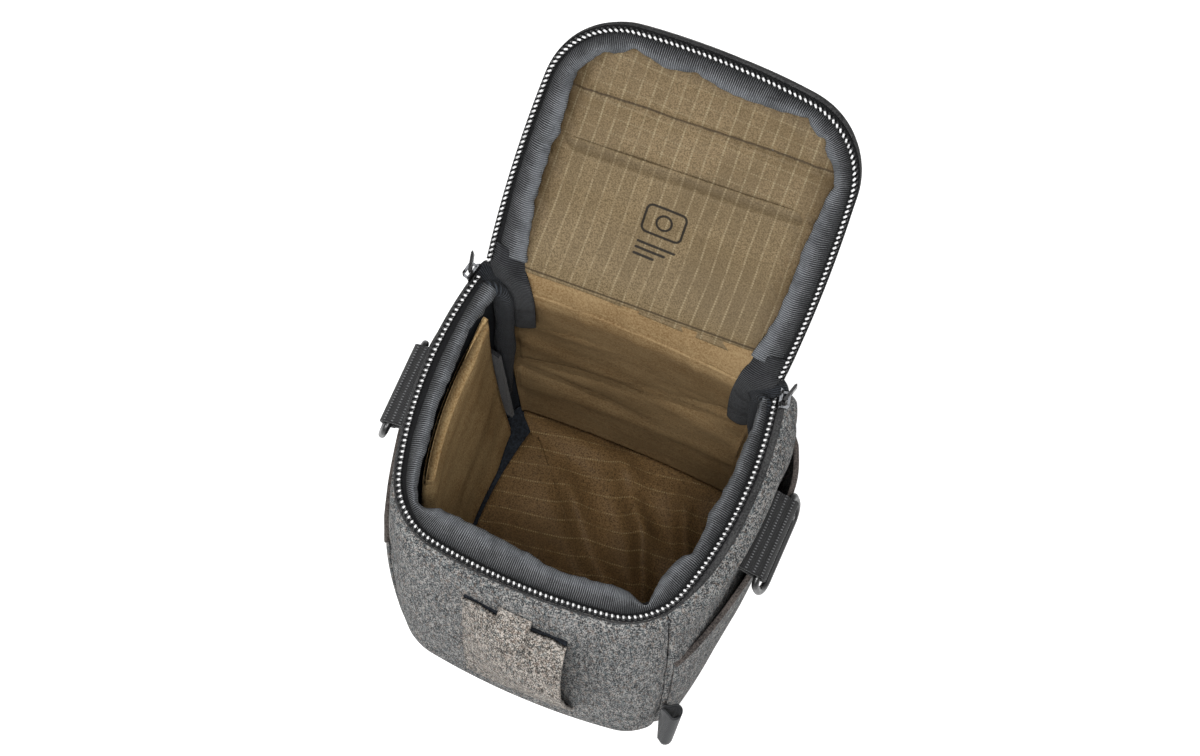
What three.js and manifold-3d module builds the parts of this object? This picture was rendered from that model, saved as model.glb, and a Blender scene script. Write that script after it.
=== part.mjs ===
// Camera belt pouch with an open padded lid, a zip round the rim and the lid, two side pockets,
// two webbing tabs with D-rings, a front band, a belt loop behind and a lift-out padded divider.
// Millimetres. X is the wearer's left to right, +Y is the hinge side, Z is up, floor at z = 0.
import * as THREE from 'three';
import { mergeVertices } from 'three/addons/utils/BufferGeometryUtils.js';
import Module from 'manifold-3d';

const wasm = await Module();
wasm.setup();

// Body outline at the zip line, seen square to the rim
const rim = {
  halfWidth: 63.8, sideRadius: 160, sideCentreY: 11,
  frontY: -55.5, frontRadius: 230, cornerRadius: 27,
  backY: 56, backRadius: 600, backCornerRadius: 13,
};
const rimHeight = 164;
const rimSlope = THREE.MathUtils.degToRad(6.2);
const zipEndY = 46;

// Body outline where the walls meet the floor panel
const footTaper = 0.8;
const foot = {
  halfWidth: rim.halfWidth - footTaper, sideRadius: 200, sideCentreY: 2,
  frontY: -61.5, frontRadius: 290, cornerRadius: 22,
  backY: 61, backRadius: 600, backCornerRadius: 14,
};

// Wall make-up, from the outside in
const rimFlare = { left: 2.6, right: 5 };
const wallSwell = 3.2;
const footTuck = 1.2;
const tuckHeight = 9;
const skinThick = 1.2;
const foamThick = 9;
const leftFoamThick = 6.6;
const liningThick = 0.8;
const layerGap = 0.3;
const seamGap = 0.36;
const skinTopDrop = 5.2;
const foamTopDrop = 5.6;
const liningTopDrop = 15.6;
const backTopDrop = 8.4;
const backLiningTopDrop = 2.4;
const skinBottom = 0.9;

// Floor make-up
const floorSkinThick = 1.6;
const floorFoamThick = 6;
const floorLiningThick = 0.8;
const floorWrinkle = 2.2;
const floorInset = 2.9;

// Zip: row of coil teeth on the free edge of its tape
const toothPitch = 2.12;
const coilRadius = 1.25;
const coilHeight = 1.08;
const coilWaist = 0.6;
const coilSlant = 0.5;
const tapeWidth = 5.4;
const tapeThick = 0.6;
const tapeLip = 1.3;
const rowClearance = 0.3;
const edgeBandInner = 2;
const edgeBandOuter = { front: 3, left: 2.9, right: 5.7, lid: 2.6 };
const edgeBandThick = 0.9;
const edgeBandHem = 4.3;

// Grosgrain binding rolled over the wall inside the zip
const bindingThick = 1.1;
const bindingStart = 4.5;
const bindingReach = { front: 12.6, left: 7.9, right: 9.8 };
const bindingHang = 14.6;
const bindingWave = 1.1;
const bindingWaveLength = 27;
const bindingWiden = { left: 35, right: 18 };
const bindingWidenLength = 26;

// Lid, laid out from its hinge: local Y runs from the hinge to the lid's free edge,
// local +Z is the side that faces into the pouch when the lid is shut
const hingeY = 50.6;
const hingeLift = 1.4;
const hingeRoll = 2.3;
const hingeRollWidth = 96;
const lidRear = 3;
const lidOpen = THREE.MathUtils.degToRad(147);
const lidInset = 2.8;
const lidRim = {
  halfWidth: rim.halfWidth - lidInset, sideRadius: 520, sideCentreY: -50,
  frontY: -108.4, frontRadius: 290, cornerRadius: 30,
};
const lidZipStart = 5;
const lidDome = 3;
const lidThinFoam = 0.6;
const lidRampStart = 9;
const lidRampEnd = 30;
const lidSideLean = 0.55;
const lidLiningDepth = 6.8;
const lidFoamThick = 3;
const lidBindingReach = 9.6;
const lidBindingHang = 5;
const lidBindingStart = 3.4;
const lidPocketMouth = 64;
const lidPocketFoot = 9;
const lidPocketLift = 1.5;
const lidPocketThick = 0.6;
const lidHemWidth = 5;

// Divider of brushed fabric over foam, standing against the left wall, with a hook strip at each end
const dividerFront = -31;
const dividerBack = 37;
const dividerFoot = 12;
const dividerTopDrop = 1.4;
const dividerStandOff = 2;
const dividerTopThick = 5;
const dividerFootThick = 8;
const dividerEdge = 0.6;
const dividerCrown = 1.6;
const hookThick = 1.6;
const hookFoot = 30;
const hookTop = 108;
const hookReach = 4.6;

// Side pockets
const pocketFoot = 5;
const pocketMouthFront = 103;
const pocketMouthBack = 121;
const pocketBulge = 6;
const pocketSkew = 1.8;
const pocketInset = 0.45;
const hemThick = 0.8;
const hemHeight = 5;

// Webbing tabs and D-rings
const webbingWidth = 33;
const webbingThick = 1.7;
const tabCentreY = 8;
const tabRootZ = 127;
const tabReach = 7.6;
const tabDroop = 4.4;
const ringWire = 3;
const ringClearance = 0.35;
const ringInsideWidth = 35.4;
const ringDepth = 14;
const ringBarCorner = 3.2;
const ringEndCorner = 7;
const ringLean = THREE.MathUtils.degToRad(12);

// Front band and its small folded tab
const bandLeft = -19;
const bandRight = 22;
const bandFoot = 28;
const bandTopLeft = 138;
const bandTopRight = 131;
const bandStand = 10.4;
const bandThick = 1.2;
const bandTabLeft = -5;
const bandTabRight = 8;
const bandTabDrop = 7;
const bandTabRise = 1.6;
const bandTabThick = 2.2;

// Ribbon tag in the front right seam, a loop seen from above
const tagHeight = 18;
const tagFoot = 24;
const tagReach = 9.5;
const tagHalfWidth = 3.2;
const tagRoot = 1.05;
const tagThick = 0.7;
const tagTurn = THREE.MathUtils.degToRad(38);
const tagFlare = 7;

// Belt loop sewn to the back panel
const loopWidth = 56;
const loopFoot = 26;
const loopTop = 138;
const loopSewn = 13;
const loopRise = 12;
const loopStand = 9;
const loopThick = 2.2;

// Fold of shell cloth that closes the back wall's top under the hinge
const hingeFoldWidth = 92;
const hingeFoldRise = 2.4;

// Corner gussets, the dark folds that hang inside the two rear corners
const gussetThick = 0.9;
const gussetY = 44.4;
const gussetInset = 11.7;
const leftGusset = { side: -1, width: 14.2, low: rimHeight - 45, high: rimHeight - 1 };
const rightGusset = { side: 1, width: 10.5, low: rimHeight - 23, high: rimHeight - 1 };

// Zip slider: a wing outside the teeth with a bridge that holds the pull
const sliderAtY = 45.5;
const sliderLength = 8;
const sliderHigh = 3.9;
const sliderLow = -1.2;
const sliderFace = 1.75;
const sliderWall = 1.1;
const bridgeReach = 2.9;
const bridgeBar = 0.9;
const bridgeLength = 6.4;
const bridgeLow = 0.4;
const bridgeHeight = 1.8;
const pullLength = 7.4;
const pullRail = 1;
const pullThick = 1.1;
const pullWindow = 3.4;
const pullLean = THREE.MathUtils.degToRad(27);
const pinClearance = 0.35;

const colours = {
  shell: 0x7b7b7d, band: 0x3e3c3b, binding: 0x55575a, tape: 0x151516, coil: 0x1b1b1c,
  tan: 0x84704f, brushed: 0x7d6746, dark: 0x2a2d31, foam: 0x9a9a98, webbing: 0x1e1e1f,
  plastic: 0x111112, ribbon: 0x3f4144, hook: 0x202123,
};

function cloth(colour, roughness = 0.9) {
  return new THREE.MeshStandardMaterial({ color: colour, roughness, metalness: 0 });
}

const shellCloth = cloth(colours.shell);
const bandCloth = cloth(colours.band, 0.8);
const bindingCloth = cloth(colours.binding);
const tapeCloth = cloth(colours.tape);
const coilNylon = cloth(colours.coil, 0.35);
const tanLining = cloth(colours.tan, 0.7);
const brushedCloth = cloth(colours.brushed, 1);
const darkLining = cloth(colours.dark);
const foamPad = cloth(colours.foam, 1);
const webbing = cloth(colours.webbing);
const gloss = cloth(colours.plastic, 0.25);
const ribbon = cloth(colours.ribbon);
const hookTape = cloth(colours.hook, 1);

// Arc centre that lies inside two larger circles and touches both
function nestedCentre(a, radiusA, b, radiusB, radius, forward) {
  const reachA = radiusA - radius;
  const reachB = radiusB - radius;
  const apart = b.clone().sub(a);
  const gap = apart.length();
  const along = (reachA * reachA - reachB * reachB + gap * gap) / (2 * gap);
  const across = Math.sqrt(Math.max(reachA * reachA - along * along, 0));
  const unit = apart.divideScalar(gap);
  const side = new THREE.Vector2(-unit.y, unit.x).multiplyScalar(across);
  const mid = a.clone().addScaledVector(unit, along);
  const one = mid.clone().add(side);
  const two = mid.clone().sub(side);
  return one.x - forward * one.y > two.x - forward * two.y ? one : two;
}

function bearing(from, to) {
  return Math.atan2(to.y - from.y, to.x - from.x);
}

// Right half of an outline from the front middle: front bow, corner, side bow and,
// unless it stops at stopY on the side, the back corner and the back bow
function halfOutline(spec, steps, stopY) {
  const side = new THREE.Vector2(spec.halfWidth - spec.sideRadius, spec.sideCentreY);
  const front = new THREE.Vector2(0, spec.frontY + spec.frontRadius);
  const corner = nestedCentre(side, spec.sideRadius, front, spec.frontRadius, spec.cornerRadius, 1);
  const arcs = [
    [front, spec.frontRadius, -Math.PI / 2, bearing(front, corner), steps.front],
    [corner, spec.cornerRadius, bearing(front, corner), bearing(side, corner), steps.corner],
  ];
  if (stopY === undefined) {
    const back = new THREE.Vector2(0, spec.backY - spec.backRadius);
    const rear = nestedCentre(side, spec.sideRadius, back, spec.backRadius, spec.backCornerRadius, -1);
    arcs.push([side, spec.sideRadius, bearing(side, corner), bearing(side, rear), steps.side]);
    arcs.push([rear, spec.backCornerRadius, bearing(side, rear), bearing(back, rear), steps.rear]);
    arcs.push([back, spec.backRadius, bearing(back, rear), Math.PI / 2, steps.back]);
  } else {
    const stop = Math.asin((stopY - spec.sideCentreY) / spec.sideRadius);
    arcs.push([side, spec.sideRadius, bearing(side, corner), stop, steps.side]);
  }
  const samples = [];
  arcs.forEach(([centre, radius, from, to, count], index) => {
    for (let i = index === 0 ? 0 : 1; i <= count; i += 1) {
      const angle = from + (to - from) * (i / count);
      const normal = new THREE.Vector2(Math.cos(angle), Math.sin(angle));
      samples.push({ point: centre.clone().addScaledVector(normal, radius), normal });
    }
  });
  return samples;
}

function mirrored(sample) {
  return {
    point: new THREE.Vector2(-sample.point.x, sample.point.y),
    normal: new THREE.Vector2(-sample.normal.x, sample.normal.y),
  };
}

// Closed outline, anticlockwise from the front middle
function closedOutline(spec, steps) {
  const right = halfOutline(spec, steps);
  const left = right.slice(1, -1).reverse().map(mirrored);
  return [...right, ...left];
}

// Open path from the rear left, round the front, to the rear right, with its length so far
function openPath(spec, steps, stopY) {
  const right = halfOutline(spec, steps, stopY);
  const path = [...right.slice(1).reverse().map(mirrored), ...right];
  let travelled = 0;
  path.forEach((sample, i) => {
    if (i > 0) travelled += sample.point.distanceTo(path[i - 1].point);
    sample.travelled = travelled;
  });
  return path;
}

const wallSteps = { front: 3, corner: 6, side: 5, rear: 4, back: 2 };
const seamCorner = wallSteps.front + 4;
const sideEnd = wallSteps.front + wallSteps.corner + wallSteps.side;
const seamRear = sideEnd + 2;
const halfCount = sideEnd + wallSteps.rear + wallSteps.back;
const outlineCount = 2 * halfCount;
const rimOutline = closedOutline(rim, wallSteps);
const footOutline = closedOutline(foot, wallSteps);

function lerpSample(outline, k) {
  const low = Math.floor(k);
  const share = k - low;
  const a = outline[((low % outlineCount) + outlineCount) % outlineCount];
  const b = outline[(((low + 1) % outlineCount) + outlineCount) % outlineCount];
  return { point: a.point.clone().lerp(b.point, share), normal: a.normal.clone().lerp(b.normal, share) };
}

// From the rim's own plane to the pouch's frame
function rimToBody(x, y, h = 0) {
  return new THREE.Vector3(
    x,
    y * Math.cos(rimSlope) - h * Math.sin(rimSlope),
    rimHeight + y * Math.sin(rimSlope) + h * Math.cos(rimSlope),
  );
}

// How far the wall's top stands outside the teeth: less along the left side
const leftMiddle = outlineCount - wallSteps.front - wallSteps.corner - wallSteps.side / 2;
function flareAt(k) {
  const step = ((k % outlineCount) + outlineCount) % outlineCount;
  const beyond = Math.abs(step - leftMiddle) - wallSteps.side / 2;
  const easing = step < leftMiddle ? wallSteps.back : wallSteps.side;
  return blend(rimFlare.left, rimFlare.right, beyond / easing);
}

function rimTopAt(k) {
  const high = lerpSample(rimOutline, k);
  const at = high.point.addScaledVector(high.normal, flareAt(k));
  return rimToBody(at.x, at.y).z;
}

// Point of the wall at outline step k and height z, moved outwards from the outer skin's face
function wallPoint(k, z, out) {
  const low = lerpSample(footOutline, k);
  const high = lerpSample(rimOutline, k);
  const top = high.point.clone().addScaledVector(high.normal, flareAt(k));
  const topBody = rimToBody(top.x, top.y);
  const share = z / topBody.z;
  const swell = wallSwell * Math.sin(Math.PI * THREE.MathUtils.clamp(share, 0, 1));
  const tuck = z < tuckHeight ? footTuck * (1 - z / tuckHeight) ** 2 : 0;
  const normal = low.normal.clone().lerp(high.normal, share);
  const x = low.point.x + (topBody.x - low.point.x) * share;
  const y = low.point.y + (topBody.y - low.point.y) * share;
  const off = out + swell - tuck;
  return new THREE.Vector3(x + normal.x * off, y + normal.y * off, z);
}

function geometryFrom(points, triangles) {
  const geometry = new THREE.BufferGeometry();
  const flat = points.flatMap((p) => [p.x, p.y, p.z]);
  geometry.setAttribute('position', new THREE.Float32BufferAttribute(flat, 3));
  let volume = 0;
  triangles.forEach(([a, b, c]) => {
    volume += points[a].dot(points[b].clone().cross(points[c])) / 6;
  });
  const order = volume < 0 ? triangles.map(([a, b, c]) => [a, c, b]) : triangles;
  geometry.setIndex(order.flat());
  geometry.computeVertexNormals();
  return geometry;
}

// Closed sheet between two grids of points, outer[row][column] and inner[row][column]
function sheetBetween(outer, inner) {
  const rows = outer.length;
  const columns = outer[0].length;
  const points = [...outer.flat(), ...inner.flat()];
  const triangles = [];
  const at = (face, r, c) => face * rows * columns + r * columns + c;
  const quad = (a, b, c, d) => triangles.push([a, b, c], [a, c, d]);
  for (let r = 0; r < rows - 1; r += 1) {
    for (let c = 0; c < columns - 1; c += 1) {
      quad(at(0, r, c), at(0, r, c + 1), at(0, r + 1, c + 1), at(0, r + 1, c));
      quad(at(1, r, c), at(1, r + 1, c), at(1, r + 1, c + 1), at(1, r, c + 1));
    }
  }
  for (let c = 0; c < columns - 1; c += 1) {
    quad(at(0, 0, c + 1), at(0, 0, c), at(1, 0, c), at(1, 0, c + 1));
    quad(at(0, rows - 1, c), at(0, rows - 1, c + 1), at(1, rows - 1, c + 1), at(1, rows - 1, c));
  }
  for (let r = 0; r < rows - 1; r += 1) {
    quad(at(0, r, 0), at(0, r + 1, 0), at(1, r + 1, 0), at(1, r, 0));
    quad(at(0, r + 1, columns - 1), at(0, r, columns - 1), at(1, r, columns - 1), at(1, r + 1, columns - 1));
  }
  return geometryFrom(points, triangles);
}

// Solid swept through sections of equal point count, with flat ends or closed on itself
function loft(sections, closed = false) {
  const count = sections[0].length;
  const points = sections.flat();
  const triangles = [];
  const last = closed ? sections.length : sections.length - 1;
  for (let s = 0; s < last; s += 1) {
    const next = (s + 1) % sections.length;
    for (let i = 0; i < count; i += 1) {
      const j = (i + 1) % count;
      triangles.push([s * count + i, s * count + j, next * count + j]);
      triangles.push([s * count + i, next * count + j, next * count + i]);
    }
  }
  if (!closed) {
    const cap = (section, flip) => {
      const start = section * count;
      const ring = sections[section];
      const middle = ring.reduce((sum, p) => sum.add(p), new THREE.Vector3()).divideScalar(count);
      const normal = new THREE.Vector3();
      ring.forEach((p, i) => {
        const q = ring[(i + 1) % count];
        normal.add(p.clone().sub(middle).cross(q.clone().sub(middle)));
      });
      normal.normalize();
      const across = ring[0].clone().sub(middle).normalize();
      const up = normal.clone().cross(across);
      const flat = ring.map((p) => {
        const d = p.clone().sub(middle);
        return new THREE.Vector2(d.dot(across), d.dot(up));
      });
      THREE.ShapeUtils.triangulateShape(flat, []).forEach(([a, b, c]) => {
        triangles.push(flip ? [start + a, start + c, start + b] : [start + a, start + b, start + c]);
      });
    };
    cap(0, true);
    cap(sections.length - 1, false);
  }
  return geometryFrom(points, triangles);
}

function solidOf(geometry) {
  const bare = geometry.clone();
  bare.deleteAttribute('normal');
  bare.deleteAttribute('uv');
  const merged = mergeVertices(bare, 1e-4);
  return new wasm.Manifold(new wasm.Mesh({
    numProp: 3,
    vertProperties: new Float32Array(merged.attributes.position.array),
    triVerts: new Uint32Array(merged.index.array),
  }));
}

function geometryOf(solid) {
  const mesh = solid.getMesh();
  const geometry = new THREE.BufferGeometry();
  geometry.setAttribute('position', new THREE.BufferAttribute(new Float32Array(mesh.vertProperties), 3));
  geometry.setIndex(new THREE.BufferAttribute(new Uint32Array(mesh.triVerts), 1));
  geometry.computeVertexNormals();
  return geometry;
}

function named(name, geometry, material) {
  const mesh = new THREE.Mesh(geometry, material);
  mesh.name = name;
  return mesh;
}

// Whole steps from one end to the other, with the two ends drawn in by half the seam gap
function columnsBetween(from, to) {
  const width = rimOutline[1].point.distanceTo(rimOutline[0].point);
  const ease = seamGap / 2 / Math.min(width, 5);
  const columns = [from + ease];
  for (let k = Math.ceil(from + 0.01); k < to - 0.01; k += 1) columns.push(k);
  columns.push(to - ease);
  return columns;
}

const wallLevels = [5, 14, 52, 92, 130];

// One layer of one wall, between two faces measured from the outer skin
function wallLayer(from, to, bottom, topDrop, outerFace, innerFace) {
  const columns = columnsBetween(from, to);
  const levels = [bottom, ...wallLevels.filter((z) => z > bottom + 1), 'top'];
  const grid = (out) => levels.map((level) => columns.map((k) => {
    const z = level === 'top' ? rimTopAt(k) - topDrop : level;
    return wallPoint(k, z, out);
  }));
  return sheetBetween(grid(outerFace), grid(innerFace));
}

const foamFace = -(skinThick + layerGap);
const liningFace = foamFace - foamThick - layerGap;
const innerFace = liningFace - liningThick;
const leftLiningFace = foamFace - leftFoamThick - layerGap;
const leftInnerFace = leftLiningFace - liningThick;
const foamBottom = floorSkinThick + layerGap + floorFoamThick + layerGap;
const walls = [
  ['front', -seamCorner, seamCorner, darkLining],
  ['right', seamCorner, seamRear, darkLining],
  ['back', seamRear, outlineCount - seamRear, tanLining],
  ['left', outlineCount - seamRear, outlineCount - seamCorner, darkLining],
];

const pouch = new THREE.Group();

walls.forEach(([side, from, to, lining]) => {
  const behind = side === 'back';
  const panelDrop = behind ? backTopDrop : skinTopDrop;
  const foamDrop = behind ? backTopDrop : foamTopDrop;
  const liningDrop = behind ? backLiningTopDrop : liningTopDrop;
  const panel = wallLayer(from, to, skinBottom, panelDrop, 0, -skinThick);
  const foamBack = (side === 'left' ? leftLiningFace : liningFace) + layerGap;
  const foam = wallLayer(from, to, foamBottom, foamDrop, foamFace, foamBack);
  const liningFront = foamBack - layerGap;
  const inner = wallLayer(from, to, foamBottom, liningDrop, liningFront, liningFront - liningThick);
  pouch.add(named(`${side}_panel`, panel, shellCloth));
  pouch.add(named(`${side}_foam`, foam, foamPad));
  pouch.add(named(`${side}_lining`, inner, lining));
});

// Flat or wrinkled plate inside the walls, from concentric rings of the foot outline
function floorPlate(inset, bottom, thick, wrinkle) {
  const shares = wrinkle ? [1, 0.8, 0.55, 0.28] : [1];
  const ring = (share, z, lift) => footOutline.map((sample) => {
    const edge = sample.point.clone().addScaledVector(sample.normal, -inset);
    const x = edge.x * share;
    const y = edge.y * share;
    return new THREE.Vector3(x, y, z + lift(x, y, share));
  });
  const lift = (x, y, share) => {
    if (!wrinkle) return 0;
    const fold = Math.sin((x + y * 1.3) / 13) + 0.6 * Math.sin((x * 0.7 - y) / 9 + 1);
    return wrinkle * (0.55 + 0.28 * fold) * Math.min(1, (1 - share) * 5);
  };
  const count = footOutline.length;
  const points = [];
  const triangles = [];
  const addFace = (z, flip) => {
    const start = points.length;
    shares.forEach((share) => points.push(...ring(share, z, lift)));
    shares.slice(1).forEach((_, s) => {
      for (let i = 0; i < count; i += 1) {
        const j = (i + 1) % count;
        const a = start + s * count + i;
        const b = start + s * count + j;
        const c = b + count;
        const d = a + count;
        triangles.push(flip ? [a, c, b] : [a, b, c], flip ? [a, d, c] : [a, c, d]);
      }
    });
    points.push(new THREE.Vector3(0, 0, z + lift(0, 0, 0)));
    const centre = points.length - 1;
    const first = start + (shares.length - 1) * count;
    for (let i = 0; i < count; i += 1) {
      const j = (i + 1) % count;
      triangles.push(flip ? [first + i, centre, first + j] : [first + i, first + j, centre]);
    }
    return start;
  };
  const low = addFace(bottom, true);
  const high = addFace(bottom + thick, false);
  for (let i = 0; i < count; i += 1) {
    const j = (i + 1) % count;
    triangles.push([low + i, low + j, high + j], [low + i, high + j, high + i]);
  }
  return geometryFrom(points, triangles);
}

const floorFoamBottom = floorSkinThick + layerGap;
pouch.add(named('floor_panel', floorPlate(floorInset, 0, floorSkinThick, 0), shellCloth));
pouch.add(named('floor_foam', floorPlate(floorInset, floorFoamBottom, floorFoamThick, 0), foamPad));
const floorLining = floorPlate(-innerFace + layerGap + footTuck, foamBottom, floorLiningThick, floorWrinkle);
pouch.add(named('floor_lining', floorLining, tanLining));

// Rim trim is swept in the rim's own plane: r outwards from the teeth, h away from the pouch
const rimGroup = new THREE.Group();
rimGroup.position.set(0, 0, rimHeight);
rimGroup.rotation.x = rimSlope;
pouch.add(rimGroup);

function sweepRound(path, profileAt, place) {
  return loft(path.map((sample, i) => profileAt(sample, i).map(([r, h]) => place(sample, r, h))));
}

function onRim(sample, r, h) {
  return new THREE.Vector3(sample.point.x + sample.normal.x * r, sample.point.y + sample.normal.y * r, h);
}

// On the lid the same outline is mirrored, so its y counts away from the hinge
function onLid(sample, r, h) {
  return new THREE.Vector3(
    sample.point.x + sample.normal.x * r,
    -(sample.point.y + sample.normal.y * r),
    h - hingeLift,
  );
}

const trimSteps = { front: 5, corner: 6, side: 8 };
const rimPath = openPath(rim, trimSteps, zipEndY);
const lidPath = openPath(lidRim, trimSteps, -lidZipStart);

// Samples at even distances along a path, so that every tooth is as long as the next
const fineSteps = { front: 30, corner: 20, side: 40 };
function evenSamples(spec, stopY, spacing) {
  const path = openPath(spec, fineSteps, stopY);
  const total = path[path.length - 1].travelled;
  const count = 2 * Math.round(total / spacing / 2);
  let at = 0;
  return Array.from({ length: count + 1 }, (_, i) => {
    const distance = (total * i) / count;
    while (at < path.length - 2 && path[at + 1].travelled < distance) at += 1;
    const [a, b] = [path[at], path[at + 1]];
    const share = (distance - a.travelled) / (b.travelled - a.travelled);
    return { point: a.point.clone().lerp(b.point, share), normal: a.normal.clone().lerp(b.normal, share) };
  });
}

// Row of coil teeth: a full crest at every tooth, a waist between two, each turn slanted
// so that its outer side lies further along the row than its inner side
function coilRow(spec, stopY, place) {
  const sides = 5;
  const samples = evenSamples(spec, stopY, toothPitch / 2);
  const rings = samples.map((sample, i) => {
    const full = i % 2 === 1 ? 1 : coilWaist;
    const along = new THREE.Vector2(-sample.normal.y, sample.normal.x);
    return Array.from({ length: sides }, (_, corner) => {
      const turn = ((corner + 0.25) / sides) * 2 * Math.PI;
      const r = full * coilRadius * Math.cos(turn);
      const h = full * coilHeight * Math.sin(turn);
      const point = sample.point.clone().addScaledVector(along, coilSlant * r);
      return place({ point, normal: sample.normal }, r, h);
    });
  });
  return loft(rings);
}

const tapeTop = -coilRadius - rowClearance;
function tapeSection() {
  const slope = 0.22 * tapeWidth;
  return [
    [tapeLip, tapeTop], [tapeLip - tapeWidth, tapeTop - slope],
    [tapeLip - tapeWidth, tapeTop - slope - tapeThick], [tapeLip, tapeTop - tapeThick],
  ];
}

function edgeBandSection(hem, outer) {
  const top = tapeTop;
  const low = -hem;
  const mid = (top + low) / 2;
  const shoulder = edgeBandInner + 0.65 * (outer - edgeBandInner);
  return [
    [edgeBandInner, top], [shoulder, top - 0.3], [outer - 0.1, mid], [outer, low],
    [outer - edgeBandThick, low], [outer - 0.1 - edgeBandThick, mid],
    [shoulder - 0.5, top - 0.3 - 0.9 * edgeBandThick], [edgeBandInner, top - edgeBandThick],
  ];
}

// Ribbon section: over the wall's top and down its inner face, fuller where it is pushed in
function bindingSection(reach, hang, wave) {
  const start = -bindingStart;
  const full = -(reach + wave);
  const top = tapeTop + 0.2;
  const fall = hang + top;
  const crest = top + 0.9 + 0.3 * wave;
  const mid = (start + full) / 2;
  const outer = [
    [start, top], [mid, crest], [full, top - 0.3 * fall], [full - 0.4, top - 0.65 * fall], [full + 1, -hang],
  ];
  const inner = [
    [full + 1 + bindingThick, -hang], [full - 0.4 + bindingThick, top - 0.65 * fall],
    [full + bindingThick, top - 0.36 * fall], [mid, crest - bindingThick], [start, top - bindingThick],
  ];
  return [...outer, ...inner];
}

function blend(a, b, share) {
  const t = THREE.MathUtils.clamp(share, 0, 1);
  return a + (b - a) * t * t * (3 - 2 * t);
}

function waveAt(travelled, shift) {
  const turn = (2 * Math.PI * travelled) / bindingWaveLength + shift;
  return bindingWave * (Math.sin(turn) + 0.5 * Math.sin(turn * 1.73 + 1.2));
}

function rimReach(sample) {
  const sideReach = sample.point.x < 0 ? bindingReach.left : bindingReach.right;
  const widenFrom = sample.point.x < 0 ? bindingWiden.left : bindingWiden.right;
  return blend(sideReach, bindingReach.front, (-sample.point.y - widenFrom) / bindingWidenLength);
}

// The edge band is broad along the right side and narrow elsewhere
function rimBandOuter(sample) {
  const sideOuter = sample.point.x < 0 ? edgeBandOuter.left : edgeBandOuter.right;
  return blend(sideOuter, edgeBandOuter.front, (-sample.point.y - bindingWiden.right) / bindingWidenLength);
}

rimGroup.add(named('rim_zip_tape', sweepRound(rimPath, tapeSection, onRim), tapeCloth));
rimGroup.add(named('rim_zip_teeth', coilRow(rim, zipEndY, onRim), coilNylon));
const rimEdgeBand = sweepRound(rimPath, (sample) => edgeBandSection(edgeBandHem, rimBandOuter(sample)), onRim);
rimGroup.add(named('rim_edge_band', rimEdgeBand, bandCloth));
const bindingSteps = { front: 7, corner: 5, side: 8 };
const rimBindingPath = openPath(rim, bindingSteps, zipEndY - 2);
const rimBinding = sweepRound(rimBindingPath, (sample) => {
  const reach = rimReach(sample);
  const calm = sample.point.x < 0 && sample.point.y > -20 ? 0.3 : 1;
  return bindingSection(reach, bindingHang, calm * waveAt(sample.travelled, 0));
}, onRim);
rimGroup.add(named('rim_binding', rimBinding, bindingCloth));

// Lid
const lidGroup = new THREE.Group();
const hinge = rimToBody(0, hingeY, hingeLift);
lidGroup.position.copy(hinge);
lidGroup.rotation.x = Math.PI + rimSlope - lidOpen;
pouch.add(lidGroup);

lidGroup.add(named('lid_zip_tape', sweepRound(lidPath, tapeSection, onLid), tapeCloth));
lidGroup.add(named('lid_zip_teeth', coilRow(lidRim, -lidZipStart, onLid), coilNylon));

// How far the lid has reached its full depth at a distance from the hinge
function ramp(fromHinge) {
  return blend(0, 1, (fromHinge - lidRampStart) / (lidRampEnd - lidRampStart));
}

const lidEdgeBand = sweepRound(lidPath, () => edgeBandSection(edgeBandHem, edgeBandOuter.lid), onLid);
lidGroup.add(named('lid_edge_band', lidEdgeBand, bandCloth));

const lidBindingPath = openPath(lidRim, bindingSteps, -lidZipStart - 1);
const lidBinding = sweepRound(lidBindingPath, (sample) => {
  const fromHinge = -sample.point.y;
  const hang = blend(lidBindingStart, lidBindingHang, (fromHinge - 6) / 16);
  return bindingSection(lidBindingReach, hang, waveAt(sample.travelled, 2.1));
}, onLid);
lidGroup.add(named('lid_binding', lidBinding, bindingCloth));

// Closed loop round the lid: the zip path moved outwards, joined by a straight edge at the hinge
function lidLoop(reachAt, rearEdge) {
  const path = openPath(lidRim, trimSteps, -rearEdge);
  const loop = path.map((sample) => {
    const reach = reachAt(-sample.point.y);
    return sample.point.clone().addScaledVector(sample.normal, reach);
  });
  loop.forEach((p) => p.set(p.x, -p.y));
  const first = loop[0];
  const last = loop[loop.length - 1];
  const spans = 6;
  for (let i = 1; i < spans; i += 1) loop.push(last.clone().lerp(first, i / spans));
  return loop;
}

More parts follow.
